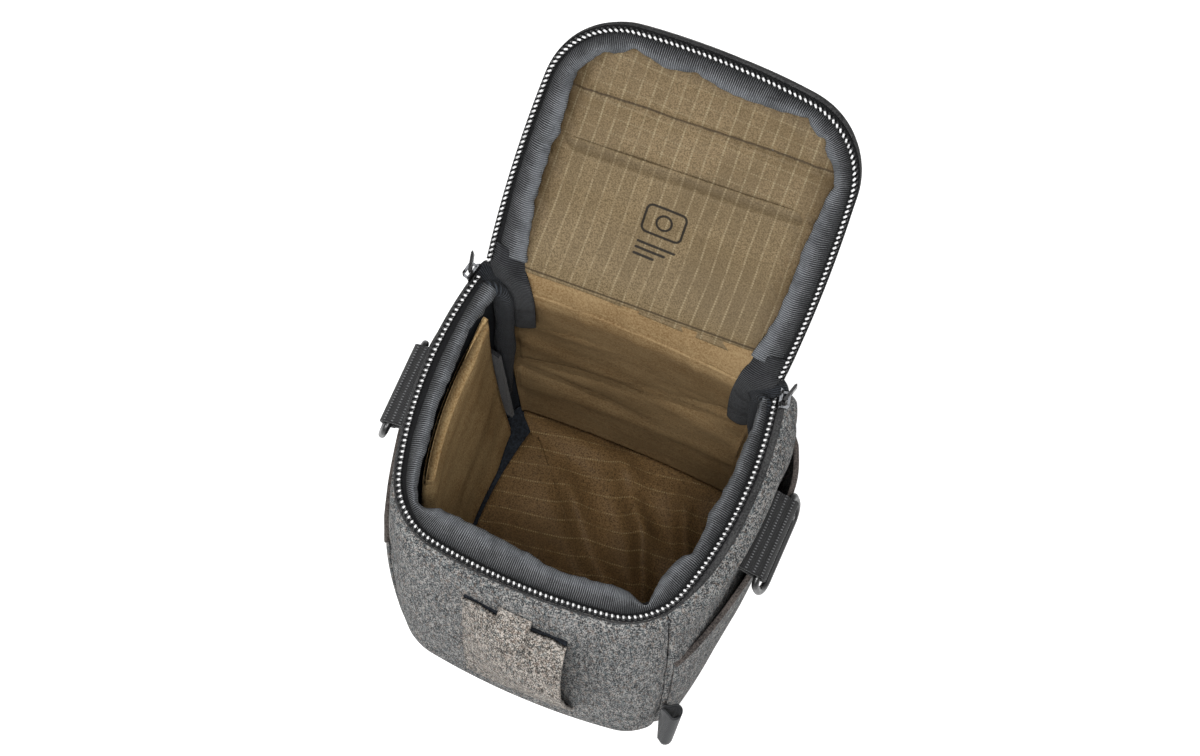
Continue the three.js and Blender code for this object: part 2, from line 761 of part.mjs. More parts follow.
// Lid layer between two heights over a loop that shrinks towards its middle
function lidLayer(reachAt, rearEdge, shares, topAt, bottomAt) {
  const loop = lidLoop(reachAt, rearEdge);
  const centre = new THREE.Vector2(0, (rearEdge - lidRim.frontY) / 2);
  const count = loop.length;
  const points = [];
  const triangles = [];
  const addFace = (heightAt, flip) => {
    const start = points.length;
    shares.forEach((share) => loop.forEach((p) => {
      const q = centre.clone().lerp(p, share);
      points.push(new THREE.Vector3(q.x, q.y, heightAt(q.y, share) - hingeLift));
    }));
    shares.slice(1).forEach((_, s) => {
      for (let i = 0; i < count; i += 1) {
        const j = (i + 1) % count;
        const a = start + s * count + i;
        const b = start + s * count + j;
        triangles.push(flip ? [a, b + count, b] : [a, b, b + count]);
        triangles.push(flip ? [a, a + count, b + count] : [a, b + count, a + count]);
      }
    });
    points.push(new THREE.Vector3(centre.x, centre.y, heightAt(centre.y, 0) - hingeLift));
    const middle = points.length - 1;
    const inner = start + (shares.length - 1) * count;
    for (let i = 0; i < count; i += 1) {
      const j = (i + 1) % count;
      triangles.push(flip ? [inner + i, middle, inner + j] : [inner + i, inner + j, middle]);
    }
    return start;
  };
  const high = addFace(topAt, false);
  const low = addFace(bottomAt, true);
  for (let i = 0; i < count; i += 1) {
    const j = (i + 1) % count;
    triangles.push([high + j, high + i, low + i], [high + j, low + i, low + j]);
  }
  return geometryFrom(points, triangles);
}

const lidShares = [1, 0.86, 0.62, 0.3];
const lidLiningStart = -tapeTop + 0.9;
const lidFoamStart = lidBindingStart + 0.9;
const lidFoamFull = lidLiningDepth + liningThick + layerGap + 0.9;

function lidLiningTop(fromHinge) {
  return -lidLiningStart - (lidLiningDepth - lidLiningStart) * ramp(fromHinge);
}

function lidFoamTop(fromHinge) {
  return -lidFoamStart - (lidFoamFull - lidFoamStart) * ramp(fromHinge);
}

function lidPanelTop(fromHinge, share) {
  const foam = lidThinFoam + (lidFoamThick - lidThinFoam) * ramp(fromHinge);
  return lidFoamTop(fromHinge) - foam - layerGap - lidDome * (1 - share * share) * ramp(fromHinge);
}

// The lid's side leans inwards from the edge band to the top panel
const lidSideTop = -edgeBandHem - layerGap;
function lidSideReach(depth) {
  return edgeBandOuter.lid - lidSideLean * Math.max(lidSideTop - depth, 0);
}

const lidLiningSet = () => -(lidBindingReach + 2.4);
const lidLining = lidLayer(lidLiningSet, lidRear, lidShares, lidLiningTop, (y) => lidLiningTop(y) - liningThick);
lidGroup.add(named('lid_lining', lidLining, tanLining));
const insideBand = skinThick + layerGap + 0.3;
const lidFoamSet = (y) => lidSideReach(lidPanelTop(y, 1)) - insideBand;
const lidFoamBottom = (y, share) => lidPanelTop(y, share) + layerGap;
const lidFoam = lidLayer(lidFoamSet, lidRear, lidShares, lidFoamTop, lidFoamBottom);
lidGroup.add(named('lid_foam', lidFoam, foamPad));
const lidPanelSet = (y) => lidSideReach(lidPanelTop(y, 1) - skinThick) - insideBand;
const lidPanelBottom = (y, share) => lidPanelTop(y, share) - skinThick;
const lidPanel = lidLayer(lidPanelSet, lidRear, lidShares, lidPanelTop, lidPanelBottom);
lidGroup.add(named('lid_top_panel', lidPanel, shellCloth));

// Lining rolled round the hinge line, joined to the lid lining's rear edge
const rollArc = [-20, 25, 70, 115, 160, 205, 250].map((deg) => {
  const turn = THREE.MathUtils.degToRad(deg);
  return [hingeRoll * Math.cos(turn), hingeRoll * Math.sin(turn)];
});
const liningRear = Math.min(...lidLoop(lidLiningSet, lidRear).map((p) => p.y));
const rollNeck = liningRear - layerGap;
const rollTop = lidLiningTop(0) - hingeLift;
const rollProfile = [...rollArc, [rollNeck, rollTop - liningThick], [rollNeck, rollTop]];
const rollEnds = [-hingeRollWidth / 2, hingeRollWidth / 2];
const rollSections = rollEnds.map((x) => rollProfile.map(([y, z]) => new THREE.Vector3(x, y, z)));
lidGroup.add(named('lid_hinge_roll', loft(rollSections), tanLining));

// Side band of the lid, from under the edge band down to the top panel
const lidSideBand = sweepRound(openPath(lidRim, trimSteps, -lidRampStart), (sample) => {
  const low = Math.min(lidPanelTop(-sample.point.y, 1) - skinThick, lidSideTop - 1.2);
  const mid = (lidSideTop + low) / 2;
  const [outer, swollen, end] = [lidSideTop, mid, low].map(lidSideReach);
  return [[outer, lidSideTop], [swollen + 0.4, mid], [end, low],
    [end - skinThick, low], [swollen + 0.4 - skinThick, mid], [outer - skinThick, lidSideTop]];
}, onLid);
lidGroup.add(named('lid_side_band', lidSideBand, shellCloth));

// Outline step at which the rim outline reaches a value of x or y
function stepWhere(axis, value, from, to) {
  const at = (step) => lerpSample(rimOutline, step).point[axis];
  let k = from;
  while (k < to - 1 && (at(k) - value) * (at(k + 1) - value) > 0) k += 1;
  return k + (value - at(k)) / (at(k + 1) - at(k));
}

// Both ends and every whole outline step between them, so a sheet bends where its wall bends
function stepsBetween(from, to) {
  const steps = [from];
  for (let k = Math.ceil(from + 0.05); k < to - 0.05; k += 1) steps.push(k);
  return [...steps, to];
}

// Sheet that follows a wall: heights zAt(k, row), inner face and thickness set off the outer skin
function sheetOnWall(columns, rows, zAt, faceAt, thickAt) {
  const grid = (share) => rows.map((row) => columns.map((k) => {
    const z = zAt(k, row);
    return wallPoint(k, z, faceAt(k, z) + share * thickAt(k, z));
  }));
  return sheetBetween(grid(1), grid(0));
}

// Divider
const dividerStart = stepWhere('y', dividerBack, outlineCount - sideEnd, outlineCount);
const dividerEnd = stepWhere('y', dividerFront, outlineCount - sideEnd, outlineCount);
const dividerSpan = dividerEnd - dividerStart;
const dividerColumns = [0, 0.08, 0.3, 0.5, 0.7, 0.92, 1].map((u) => dividerStart + u * dividerSpan);
const dividerRows = [0, 0.06, 0.28, 0.52, 0.76, 0.95, 1];

function dividerZ(k, row) {
  const top = rimTopAt(k) - bindingHang - dividerTopDrop;
  return dividerFoot + (top - dividerFoot) * row;
}

function dividerThick(k, z) {
  const u = (k - dividerStart) / dividerSpan;
  const v = (z - dividerFoot) / (dividerZ(k, 1) - dividerFoot);
  const body = dividerFootThick + (dividerTopThick - dividerFootThick) * v;
  const edge = Math.min(1, 12 * Math.min(u, 1 - u, v, 1 - v));
  const crown = dividerCrown * Math.sin(Math.PI * u) * Math.sin(Math.PI * v);
  return body * (dividerEdge + (1 - dividerEdge) * Math.max(edge, 0)) + crown;
}

const dividerBackFace = leftInnerFace - dividerStandOff;
const dividerFace = (k, z) => dividerBackFace - dividerThick(k, z);
const dividerPad = sheetOnWall(dividerColumns, dividerRows, dividerZ, dividerFace, dividerThick);
pouch.add(named('divider', dividerPad, brushedCloth));

function stepLength(k) {
  return rimOutline[Math.floor(k)].point.distanceTo(rimOutline[Math.floor(k) + 1].point);
}

// The hook strips bridge the stand-off, so the divider is held against the looped lining
const hookFace = dividerBackFace - hookReach;
const hookDepth = hookReach + dividerStandOff - layerGap;
const backStep = stepLength(dividerStart);
const frontStep = stepLength(dividerEnd);
const hookFar = layerGap + hookThick;
[
  ['divider_back_hook', [dividerStart - hookFar / backStep, dividerStart - layerGap / backStep]],
  ['divider_front_hook', [dividerEnd + layerGap / frontStep, dividerEnd + hookFar / frontStep]],
].forEach(([name, ends]) => {
  const strip = sheetOnWall(
    ends,
    [0, 1],
    (k, row) => hookFoot + (hookTop - hookFoot) * row,
    () => hookFace,
    () => hookDepth,
  );
  pouch.add(named(name, strip, hookTape));
});

// Side pockets and their hems; the left ones are the right ones mirrored
const pocketStart = seamCorner + pocketInset;
const pocketEnd = seamRear - pocketInset;
const pocketSteps = stepsBetween(pocketStart, pocketEnd);
const pocketRows = wallLevels.filter((z) => z >= pocketFoot && z < pocketMouthFront);

function pocketShare(k) {
  const right = k > halfCount ? outlineCount - k : k;
  return (right - pocketStart) / (pocketEnd - pocketStart);
}

function pocketMouth(k) {
  return pocketMouthFront + (pocketMouthBack - pocketMouthFront) * pocketShare(k);
}

function pocketFace(k, z) {
  const across = Math.sin(Math.PI * THREE.MathUtils.clamp(pocketShare(k), 0, 1) ** pocketSkew) ** 1.3;
  const up = (z - pocketFoot) / (pocketMouth(k) - pocketFoot);
  return layerGap + pocketBulge * across * Math.max(up, 0) ** 1.2;
}

['left', 'right'].forEach((side) => {
  const steps = side === 'right' ? pocketSteps : pocketSteps.map((k) => outlineCount - k).reverse();
  const rowZ = (k, row) => (row === 'mouth' ? pocketMouth(k) : row);
  const body = sheetOnWall(steps, [...pocketRows, 'mouth'], rowZ, pocketFace, () => skinThick);
  pouch.add(named(`${side}_pocket`, body, shellCloth));
  const hemZ = (k, row) => pocketMouth(k) - hemHeight * row;
  const hemFace = (k, z) => pocketFace(k, z) + skinThick + layerGap;
  const hem = sheetOnWall(steps, [1, 0], hemZ, hemFace, () => hemThick);
  pouch.add(named(`${side}_pocket_hem`, hem, bandCloth));
});

// How far out from the middle the skin of one side lies at a given y and z
function sideSkin(side, y, z) {
  let low = wallSteps.front + wallSteps.corner;
  let high = sideEnd;
  const at = (k) => wallPoint(side > 0 ? k : outlineCount - k, z, 0);
  for (let i = 0; i < 24; i += 1) {
    const mid = (low + high) / 2;
    if (at(mid).y < y) low = mid;
    else high = mid;
  }
  return Math.abs(at(low).x);
}

const barX = (side) => sideSkin(side, tabCentreY, tabRootZ) + tabReach;
const barZ = tabRootZ - tabDroop;
const eyeInner = ringWire / 2 + ringClearance;
const eyeOuter = eyeInner + webbingThick;

// Folded webbing: two layers out from the wall and round the ring's bar
function webbingTab(side) {
  const fall = Math.atan2(tabDroop, tabReach);
  const sections = [0, 0.25, 0.5, 0.75, 1].map((share) => {
    const y = tabCentreY + (share - 0.5) * webbingWidth;
    const root = sideSkin(side, y, tabRootZ) + layerGap;
    const turns = [110, 70, 30, -10, -50, -90, -130].map((deg) => THREE.MathUtils.degToRad(deg) - fall);
    const eye = turns.map((turn) => [barX(side) + eyeOuter * Math.cos(turn), barZ + eyeOuter * Math.sin(turn)]);
    const profile = [[root, tabRootZ + webbingThick], ...eye, [root, tabRootZ - webbingThick]];
    return profile.map(([x, z]) => new THREE.Vector3(side * x, y, z));
  });
  const hole = new THREE.CylinderGeometry(eyeInner, eyeInner, webbingWidth + 4, 12);
  hole.translate(side * barX(side), tabCentreY, barZ);
  return geometryOf(solidOf(loft(sections)).subtract(solidOf(hole)));
}

// Arc points of a rounded corner, in the ring's plane
function cornerArc(centre, radius, from, to, count) {
  return Array.from({ length: count + 1 }, (_, i) => {
    const turn = from + (to - from) * (i / count);
    const outward = new THREE.Vector2(Math.cos(turn), Math.sin(turn));
    return { at: centre.clone().addScaledVector(outward, radius), outward };
  });
}

// D-ring: a straight bar with tight corners and a rounder far end, hanging from the bar
function dRing(side) {
  const half = (ringInsideWidth + ringWire) / 2;
  const quarter = Math.PI / 2;
  const bar = (y) => new THREE.Vector2(y * (half - ringBarCorner), -ringBarCorner);
  const end = (y) => new THREE.Vector2(y * (half - ringEndCorner), ringEndCorner - ringDepth);
  const path = [
    ...cornerArc(bar(1), ringBarCorner, quarter, 0, 2),
    ...cornerArc(end(1), ringEndCorner, 0, -quarter, 4),
    ...cornerArc(end(-1), ringEndCorner, -quarter, -2 * quarter, 4),
    ...cornerArc(bar(-1), ringBarCorner, -2 * quarter, -3 * quarter, 2),
  ];
  const down = new THREE.Vector3(side * Math.sin(ringLean), 0, -Math.cos(ringLean));
  const face = new THREE.Vector3(side * Math.cos(ringLean), 0, Math.sin(ringLean));
  const origin = new THREE.Vector3(side * barX(side), tabCentreY, barZ);
  const sides = 8;
  const sections = path.map(({ at, outward }) => Array.from({ length: sides }, (_, i) => {
    const turn = (i / sides) * 2 * Math.PI;
    const rise = (ringWire / 2) * Math.cos(turn);
    const inPlane = at.clone().addScaledVector(outward, rise);
    const point = origin.clone().addScaledVector(down, -inPlane.y);
    point.y += inPlane.x;
    return point.addScaledVector(face, (ringWire / 2) * Math.sin(turn));
  }));
  return loft(sections, true);
}

[['left', -1], ['right', 1]].forEach(([side, sign]) => {
  pouch.add(named(`${side}_webbing_tab`, webbingTab(sign), webbing));
  pouch.add(named(`${side}_d_ring`, dRing(sign), gloss));
});

// Front band: sewn at its left and lower edges, standing off towards its free right end
const bandStart = stepWhere('x', bandLeft, -wallSteps.front, wallSteps.front);
const bandEnd = stepWhere('x', bandRight, -wallSteps.front, wallSteps.front);

function bandShare(k) {
  return THREE.MathUtils.clamp((k - bandStart) / (bandEnd - bandStart), 0, 1);
}

function bandTop(k) {
  return bandTopLeft + (bandTopRight - bandTopLeft) * bandShare(k);
}

// Stands off most a quarter of the way down from its upper edge, like a shallow pouch mouth
function bandFace(k, z) {
  const down = THREE.MathUtils.clamp((bandTop(k) - z) / (bandTop(k) - bandFoot), 0, 1);
  const swell = 2.9 * down ** 0.5 * (1 - down) ** 1.3;
  return layerGap + bandStand * (1 - (1 - bandShare(k)) ** 2.2) * swell;
}

const bandRows = [1, 0.78, 0.56, 0.38, 0.24, 0.13, 0.05, 0];
const bandZ = (k, down) => bandTop(k) - (bandTop(k) - bandFoot) * down;
const bandSteps = stepsBetween(bandStart, bandEnd);
const frontBand = sheetOnWall(bandSteps, bandRows, bandZ, bandFace, () => bandThick);
pouch.add(named('front_band', frontBand, shellCloth));

const tabStart = stepWhere('x', bandTabLeft, -wallSteps.front, wallSteps.front);
const tabEnd = stepWhere('x', bandTabRight, -wallSteps.front, wallSteps.front);
const bandTab = sheetOnWall(
  stepsBetween(tabStart, tabEnd),
  [-bandTabDrop, -0.7 * bandTabDrop, -0.4 * bandTabDrop, -0.15 * bandTabDrop, 0, bandTabRise],
  (k, row) => bandTop(k) + row,
  (k, z) => bandFace(k, z) + bandThick + layerGap,
  () => bandTabThick,
);
pouch.add(named('front_band_tab', bandTab, shellCloth));

// Ribbon tag: teardrop loop whose two ends meet in the seam
const tagOutline = [
  [0, -tagRoot], [0.3, -0.5 * tagHalfWidth], [0.62, -tagHalfWidth], [0.9, -0.72 * tagHalfWidth], [1, 0],
  [0.9, 0.72 * tagHalfWidth], [0.62, tagHalfWidth], [0.3, 0.5 * tagHalfWidth], [0, tagRoot],
].map(([reach, side]) => new THREE.Vector2(reach * tagReach, side));

const tagSections = tagOutline.map((p, i) => {
  const before = tagOutline[(i + tagOutline.length - 1) % tagOutline.length];
  const after = tagOutline[(i + 1) % tagOutline.length];
  const one = p.clone().sub(before).normalize();
  const two = after.clone().sub(p).normalize();
  const along = one.clone().add(two).normalize();
  const inward = new THREE.Vector2(-along.y, along.x);
  const mitre = tagThick / Math.max(inward.dot(new THREE.Vector2(-one.y, one.x)), 0.5);
  const inner = p.clone().addScaledVector(inward, mitre);
  const corners = [[p, 0], [inner, 0], [inner, 1], [p, 1]];
  return corners.map(([q, high]) => {
    const z = tagFoot + tagHeight * high;
    const seam = wallPoint(seamCorner, z, layerGap + 0.3);
    const heading = lerpSample(footOutline, seamCorner).normal.clone().rotateAround(new THREE.Vector2(), tagTurn);
    const flare = tagFlare * (1 - high) * Math.min(1, q.x / (0.3 * tagReach));
    const x = seam.x + heading.x * q.x - heading.y * q.y;
    const y = seam.y + heading.y * q.x + heading.x * q.y - Math.max(flare, 0);
    return new THREE.Vector3(x, y, z);
  });
});
pouch.add(named('ribbon_tag', loft(tagSections, true), ribbon));

// Belt loop
const loopStart = stepWhere('x', loopWidth / 2, seamRear, outlineCount - seamRear);
const loopEnd = stepWhere('x', -loopWidth / 2, seamRear, outlineCount - seamRear);
const loopLow = loopFoot + loopSewn;
const loopHigh = loopTop - loopSewn;
const loopRows = [
  loopFoot, loopLow, loopLow + loopRise / 2, loopLow + loopRise, 82,
  loopHigh - loopRise, loopHigh - loopRise / 2, loopHigh, 130, loopTop,
];

function loopFace(k, z) {
  const up = blend(0, 1, (z - loopLow) / loopRise);
  const down = blend(0, 1, (loopHigh - z) / loopRise);
  return layerGap + loopStand * up * down;
}

const loopSteps = stepsBetween(loopStart, loopEnd);
const beltLoop = sheetOnWall(loopSteps, loopRows, (k, z) => z, loopFace, () => loopThick);
pouch.add(named('belt_loop', beltLoop, webbing));

// Hinge fold: from the back panel's top edge forward to the lining
const foldStart = stepWhere('x', hingeFoldWidth / 2, seamRear, outlineCount - seamRear);
const foldEnd = stepWhere('x', -hingeFoldWidth / 2, seamRear, outlineCount - seamRear);
const foldProfile = [[0, 0], [-0.4, 0.55], [-2.6, 0.92], [liningFace + skinThick + layerGap, 1]];
const foldGrid = (deep) => foldProfile.map(([out, rise]) => stepsBetween(foldStart, foldEnd).map((k) => {
  const base = rimTopAt(k) - backTopDrop + layerGap;
  const drawn = deep ? Math.min(1, 1.3 - rise) : 0;
  const z = base + Math.max(rise * hingeFoldRise - (deep ? skinThick * Math.min(1, 1.6 * rise) : 0), 0);
  return wallPoint(k, z, out - skinThick * drawn);
}));
pouch.add(named('hinge_fold', sheetBetween(foldGrid(false), foldGrid(true)), shellCloth));

// Corner gussets
[['left', leftGusset], ['right', rightGusset]].forEach(([side, spec]) => {
  const outer = spec.side * (rim.halfWidth - gussetInset);
  const inner = outer - spec.side * spec.width;
  const xs = [0, 0.35, 0.7, 1].map((share) => inner + (outer - inner) * share);
  const zs = [0, 0.33, 0.67, 1].map((share) => spec.low + (spec.high - spec.low) * share);
  const grid = (thick) => zs.map((z, row) => xs.map((x, column) => {
    const wave = 0.5 * Math.sin(column * 2.1 + row * 1.3);
    return new THREE.Vector3(x, gussetY + wave + thick, z);
  }));
  pouch.add(named(`${side}_corner_gusset`, sheetBetween(grid(gussetThick), grid(0)), tapeCloth));
});

// Zip sliders, placed on the side arc with their length along it
const sliderTurn = Math.asin((sliderAtY - rim.sideCentreY) / rim.sideRadius);
const sliderNormal = new THREE.Vector2(Math.cos(sliderTurn), Math.sin(sliderTurn));
const sliderPoint = new THREE.Vector2(rim.halfWidth - rim.sideRadius, rim.sideCentreY)
  .addScaledVector(sliderNormal, rim.sideRadius);
const pivotOut = sliderFace + sliderWall + (bridgeReach - bridgeBar) / 2;

// Prism: outline in the first two local axes, moved to the slider's place on one side
function sliderPrism(outline, holes, low, high, side, turn = 0) {
  const shape = new THREE.Shape(outline.map(([a, b]) => new THREE.Vector2(a, b)));
  holes.forEach((hole) => shape.holes.push(new THREE.Path(hole.map(([a, b]) => new THREE.Vector2(a, b)))));
  const solid = new THREE.ExtrudeGeometry(shape, { depth: high - low, bevelEnabled: false });
  solid.translate(0, 0, low);
  const basis = new THREE.Matrix4().makeRotationZ(sliderTurn + turn);
  basis.setPosition(sliderPoint.x, sliderPoint.y, 0);
  return { solid, basis, side };
}

function placed({ solid, basis, side }) {
  const geometry = solid.clone().applyMatrix4(basis);
  if (side > 0) return solidOf(geometry);
  return solidOf(geometry).mirror([1, 0, 0]);
}

function slider(side) {
  const half = sliderLength / 2;
  const outer = sliderFace + sliderWall;
  const wing = [[sliderFace, -half], [outer, -half + 0.8], [outer, half - 0.8], [sliderFace, half]];
  const far = outer + bridgeReach;
  const span = bridgeLength / 2;
  const arch = [[outer - 0.3, -span], [far - 0.9, -span], [far, -span + 1], [far, span - 1],
    [far - 0.9, span], [outer - 0.3, span]];
  const near = far - bridgeBar;
  const inside = span - bridgeBar;
  const gap = [[outer, -inside], [near - 0.5, -inside], [near, -inside + 0.6], [near, inside - 0.6],
    [near - 0.5, inside], [outer, inside]];
  const plate = placed(sliderPrism(wing, [], sliderLow, sliderHigh, side));
  const bridge = placed(sliderPrism(arch, [], bridgeLow, bridgeLow + bridgeHeight, side));
  const hollow = placed(sliderPrism(gap, [], bridgeLow - 1, bridgeLow + bridgeHeight + 1, side));
  return geometryOf(plate.add(bridge.subtract(hollow)));
}

// Pull: a flat tongue on edge; its end bar stands inside the bridge and its window lets the bridge through
function pull(side) {
  const low = bridgeLow - pinClearance - pullRail;
  const high = bridgeLow + bridgeHeight + pinClearance + pullRail;
  const half = pullThick / 2;
  const shoulder = pullLength - 0.8;
  const tongue = [[-half, -half], [half, -half], [half, shoulder], [0, pullLength], [-half, shoulder]];
  const windowEnd = half + pullWindow;
  const opening = [[-pullThick, half], [pullThick, half], [pullThick, windowEnd], [-pullThick, windowEnd]];
  const shape = sliderPrism(tongue, [], low, high, 1);
  const cut = sliderPrism(opening, [], low + pullRail, high - pullRail, 1);
  const solid = solidOf(shape.solid).subtract(solidOf(cut.solid));
  const turned = solid.rotate([0, 0, -THREE.MathUtils.radToDeg(pullLean)]).translate([pivotOut, 0, 0]);
  const placedPull = turned.rotate([0, 0, THREE.MathUtils.radToDeg(sliderTurn)])
    .translate([sliderPoint.x, sliderPoint.y, 0]);
  return geometryOf(side > 0 ? placedPull : placedPull.mirror([1, 0, 0]));
}

[['left', -1], ['right', 1]].forEach(([side, sign]) => {
  rimGroup.add(named(`${side}_slider`, slider(sign), gloss));
  rimGroup.add(named(`${side}_pull`, pull(sign), gloss));
});

// Lid pocket: a thin panel over the lining, open along the edge away from the hinge
function lidHalfWidth(fromHinge) {
  const along = fromHinge + lidRim.sideCentreY;
  return lidRim.halfWidth - lidRim.sideRadius + Math.sqrt(lidRim.sideRadius ** 2 - along ** 2);
}

function lidSheet(rows, inset, bottomAt, thick) {
  const columns = [-1, -0.6, -0.2, 0.2, 0.6, 1];
  const grid = (extra) => rows.map((fromHinge) => columns.map((share) => {
    const x = share * (lidHalfWidth(fromHinge) - inset);
    const arch = 1 - share * share;
    return new THREE.Vector3(x, fromHinge, bottomAt(fromHinge, arch) + extra - hingeLift);
  }));
  return sheetBetween(grid(thick), grid(0));
}

const lidPocketInset = lidBindingReach + 3.4;
const pocketRise = (fromHinge, arch) => {
  const share = (fromHinge - lidPocketFoot) / (lidPocketMouth - lidPocketFoot);
  return layerGap + 0.7 + lidPocketLift * arch * Math.max(share, 0);
};
const lidPocketBottom = (fromHinge, arch) => lidLiningTop(fromHinge) + pocketRise(fromHinge, arch);
const lidPocketRows = [lidPocketFoot, 13, 17, 21, 25, 30, 47, lidPocketMouth];
const lidPocket = lidSheet(lidPocketRows, lidPocketInset, lidPocketBottom, lidPocketThick);
lidGroup.add(named('lid_pocket', lidPocket, tanLining));
const lidHemBottom = (fromHinge, arch) => lidPocketBottom(fromHinge, arch) + lidPocketThick + layerGap;
const lidHemRows = [lidPocketMouth - lidHemWidth, lidPocketMouth];
const lidHem = lidSheet(lidHemRows, lidPocketInset, lidHemBottom, hemThick);
lidGroup.add(named('lid_pocket_hem', lidHem, tanLining));

export default pouch;
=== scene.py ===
"""Looks of the camera belt pouch: padded melange walls, zip, bindings, linings, pockets and fittings."""

import math

import bpy
import numpy as np
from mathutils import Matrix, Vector


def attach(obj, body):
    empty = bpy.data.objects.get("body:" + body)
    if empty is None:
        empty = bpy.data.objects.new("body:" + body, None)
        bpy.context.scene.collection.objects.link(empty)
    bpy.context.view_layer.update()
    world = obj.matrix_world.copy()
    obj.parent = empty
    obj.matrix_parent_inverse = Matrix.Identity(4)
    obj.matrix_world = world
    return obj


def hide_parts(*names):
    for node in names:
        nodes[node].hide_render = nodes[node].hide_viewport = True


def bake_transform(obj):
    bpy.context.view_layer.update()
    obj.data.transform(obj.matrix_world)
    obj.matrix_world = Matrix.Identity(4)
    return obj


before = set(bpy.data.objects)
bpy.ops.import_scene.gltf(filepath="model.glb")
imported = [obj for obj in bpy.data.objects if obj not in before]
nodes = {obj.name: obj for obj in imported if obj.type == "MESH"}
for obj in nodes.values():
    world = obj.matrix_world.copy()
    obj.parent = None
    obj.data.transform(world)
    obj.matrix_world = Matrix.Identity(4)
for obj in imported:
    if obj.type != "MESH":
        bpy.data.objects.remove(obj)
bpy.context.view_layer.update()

# ---------------------------------------------------------------- camera, as in the photograph
AZIMUTH, ELEVATION, DISTANCE = math.radians(23.433), math.radians(72.429), 1.640697
TARGET = Vector((-0.007415, 0.037933, 0.131265))
FOCAL_PIXELS, FRAME_PIXELS, SENSOR_MM = 4316.89, 1200, 36
back = Vector((math.sin(AZIMUTH) * math.cos(ELEVATION), -math.cos(AZIMUTH) * math.cos(ELEVATION), math.sin(ELEVATION)))
cam_data = bpy.data.cameras.new("camera")
cam = bpy.data.objects.new("camera", cam_data)
bpy.context.scene.collection.objects.link(cam)
cam.location = TARGET + back * DISTANCE
cam.rotation_mode = "QUATERNION"
cam.rotation_quaternion = (-back).to_track_quat("-Z", "Y")
cam_data.sensor_width = SENSOR_MM
cam_data.lens = FOCAL_PIXELS * SENSOR_MM / FRAME_PIXELS
cam_data.clip_start, cam_data.clip_end = 0.05, 20
bpy.context.scene.camera = cam

# ---------------------------------------------------------------- outlines, in millimetres
RIM = dict(half_width=63.8, side_radius=160.0, side_y=11.0, front_y=-55.5, front_radius=230.0, corner_radius=27.0,
           rear_y=56.0, rear_radius=600.0, rear_corner=13.0)
FOOT = dict(half_width=63.0, side_radius=200.0, side_y=2.0, front_y=-61.5, front_radius=290.0, corner_radius=22.0,
            rear_y=61.0, rear_radius=600.0, rear_corner=14.0)
LID = dict(half_width=61.0, side_radius=520.0, side_y=-50.0, front_y=-108.4, front_radius=290.0, corner_radius=30.0)
RIM_HEIGHT, SLOPE = 164.0, math.radians(6.2)
HINGE_Y, HINGE_LIFT, LID_OPEN = 50.6, 1.4, math.radians(147)
# Steps along an outline: 0 at the front's middle, 20 at the back's, and on round the left side to 40.
KNOTS = (0, 3, 9, 14, 18, 20)
FULL = 40
LEFT_MIDDLE = 28.5
SEAM, REAR = 7.0, 16.0  # steps of the right wall's front and rear seams
FLARE_LEFT, FLARE = 2.6, 5.0  # how far the wall's top stands outside the teeth
SWELL = 3.2  # how far a padded wall bulges at half height
TUCK_HEIGHT, TUCK = 9.0, 1.2  # the foot's rounding


def nested(a, ra, b, rb, r, forward):
    """Centre of the arc of radius r that rounds the corner between two arcs, from inside both."""
    a, b = np.array(a), np.array(b)
    qa, qb = ra - r, rb - r
    gap = np.linalg.norm(b - a)
    along = (qa * qa - qb * qb + gap * gap) / (2 * gap)
    across = math.sqrt(max(qa * qa - along * along, 0))
    unit = (b - a) / gap
    side = np.array([-unit[1], unit[0]]) * across
    one, two = a + unit * along + side, a + unit * along - side
    return one if one[0] - forward * one[1] > two[0] - forward * two[1] else two


def bearing(a, b):
    """Angle from point a to point b."""
    return math.atan2(b[1] - a[1], b[0] - a[0])


def arcs(s, stop=None):
    """The right half of an outline as arcs: centre, radius, first and last angle. stop ends the side at that y."""
    side_r, front_r, rear_r = s["side_radius"], s["front_radius"], s.get("rear_radius")
    side = (s["half_width"] - side_r, s["side_y"])
    front = (0.0, s["front_y"] + front_r)
    corner = nested(side, side_r, front, front_r, s["corner_radius"], 1)
    out = [(front, front_r, -math.pi / 2, bearing(front, corner)),
           (corner, s["corner_radius"], bearing(front, corner), bearing(side, corner))]
    if stop is not None:
        return out + [(side, side_r, bearing(side, corner), math.asin((stop - s["side_y"]) / side_r))]
    rear = (0.0, s["rear_y"] - rear_r)
    turn = nested(side, side_r, rear, rear_r, s["rear_corner"], -1)
    return out + [(side, side_r, bearing(side, corner), bearing(side, turn)),
                  (turn, s["rear_corner"], bearing(side, turn), bearing(rear, turn)),
                  (rear, rear_r, bearing(rear, turn), math.pi / 2)]


RIM_ARCS, FOOT_ARCS = arcs(RIM), arcs(FOOT)


def outline(arc_list, k):
    """Points and outward normals at steps k of an outline, its left half mirrored from the right."""
    k = np.mod(np.asarray(k, float), FULL)
    left = k > FULL / 2
    kk = np.where(left, FULL - k, k)
    x, y, nx, ny = (np.zeros_like(kk) for _ in range(4))
    for i, (c, r, a0, a1) in enumerate(arc_list):
        m = (kk >= KNOTS[i] - 1e-9) & (kk <= KNOTS[i + 1] + 1e-9)
        t = (kk - KNOTS[i]) / (KNOTS[i + 1] - KNOTS[i])
        ang = a0 + (a1 - a0) * t
        x = np.where(m, c[0] + r * np.cos(ang), x)
        y = np.where(m, c[1] + r * np.sin(ang), y)
        nx = np.where(m, np.cos(ang), nx)
        ny = np.where(m, np.sin(ang), ny)
    sign = np.where(left, -1.0, 1.0)
    return x * sign, y, nx * sign, ny


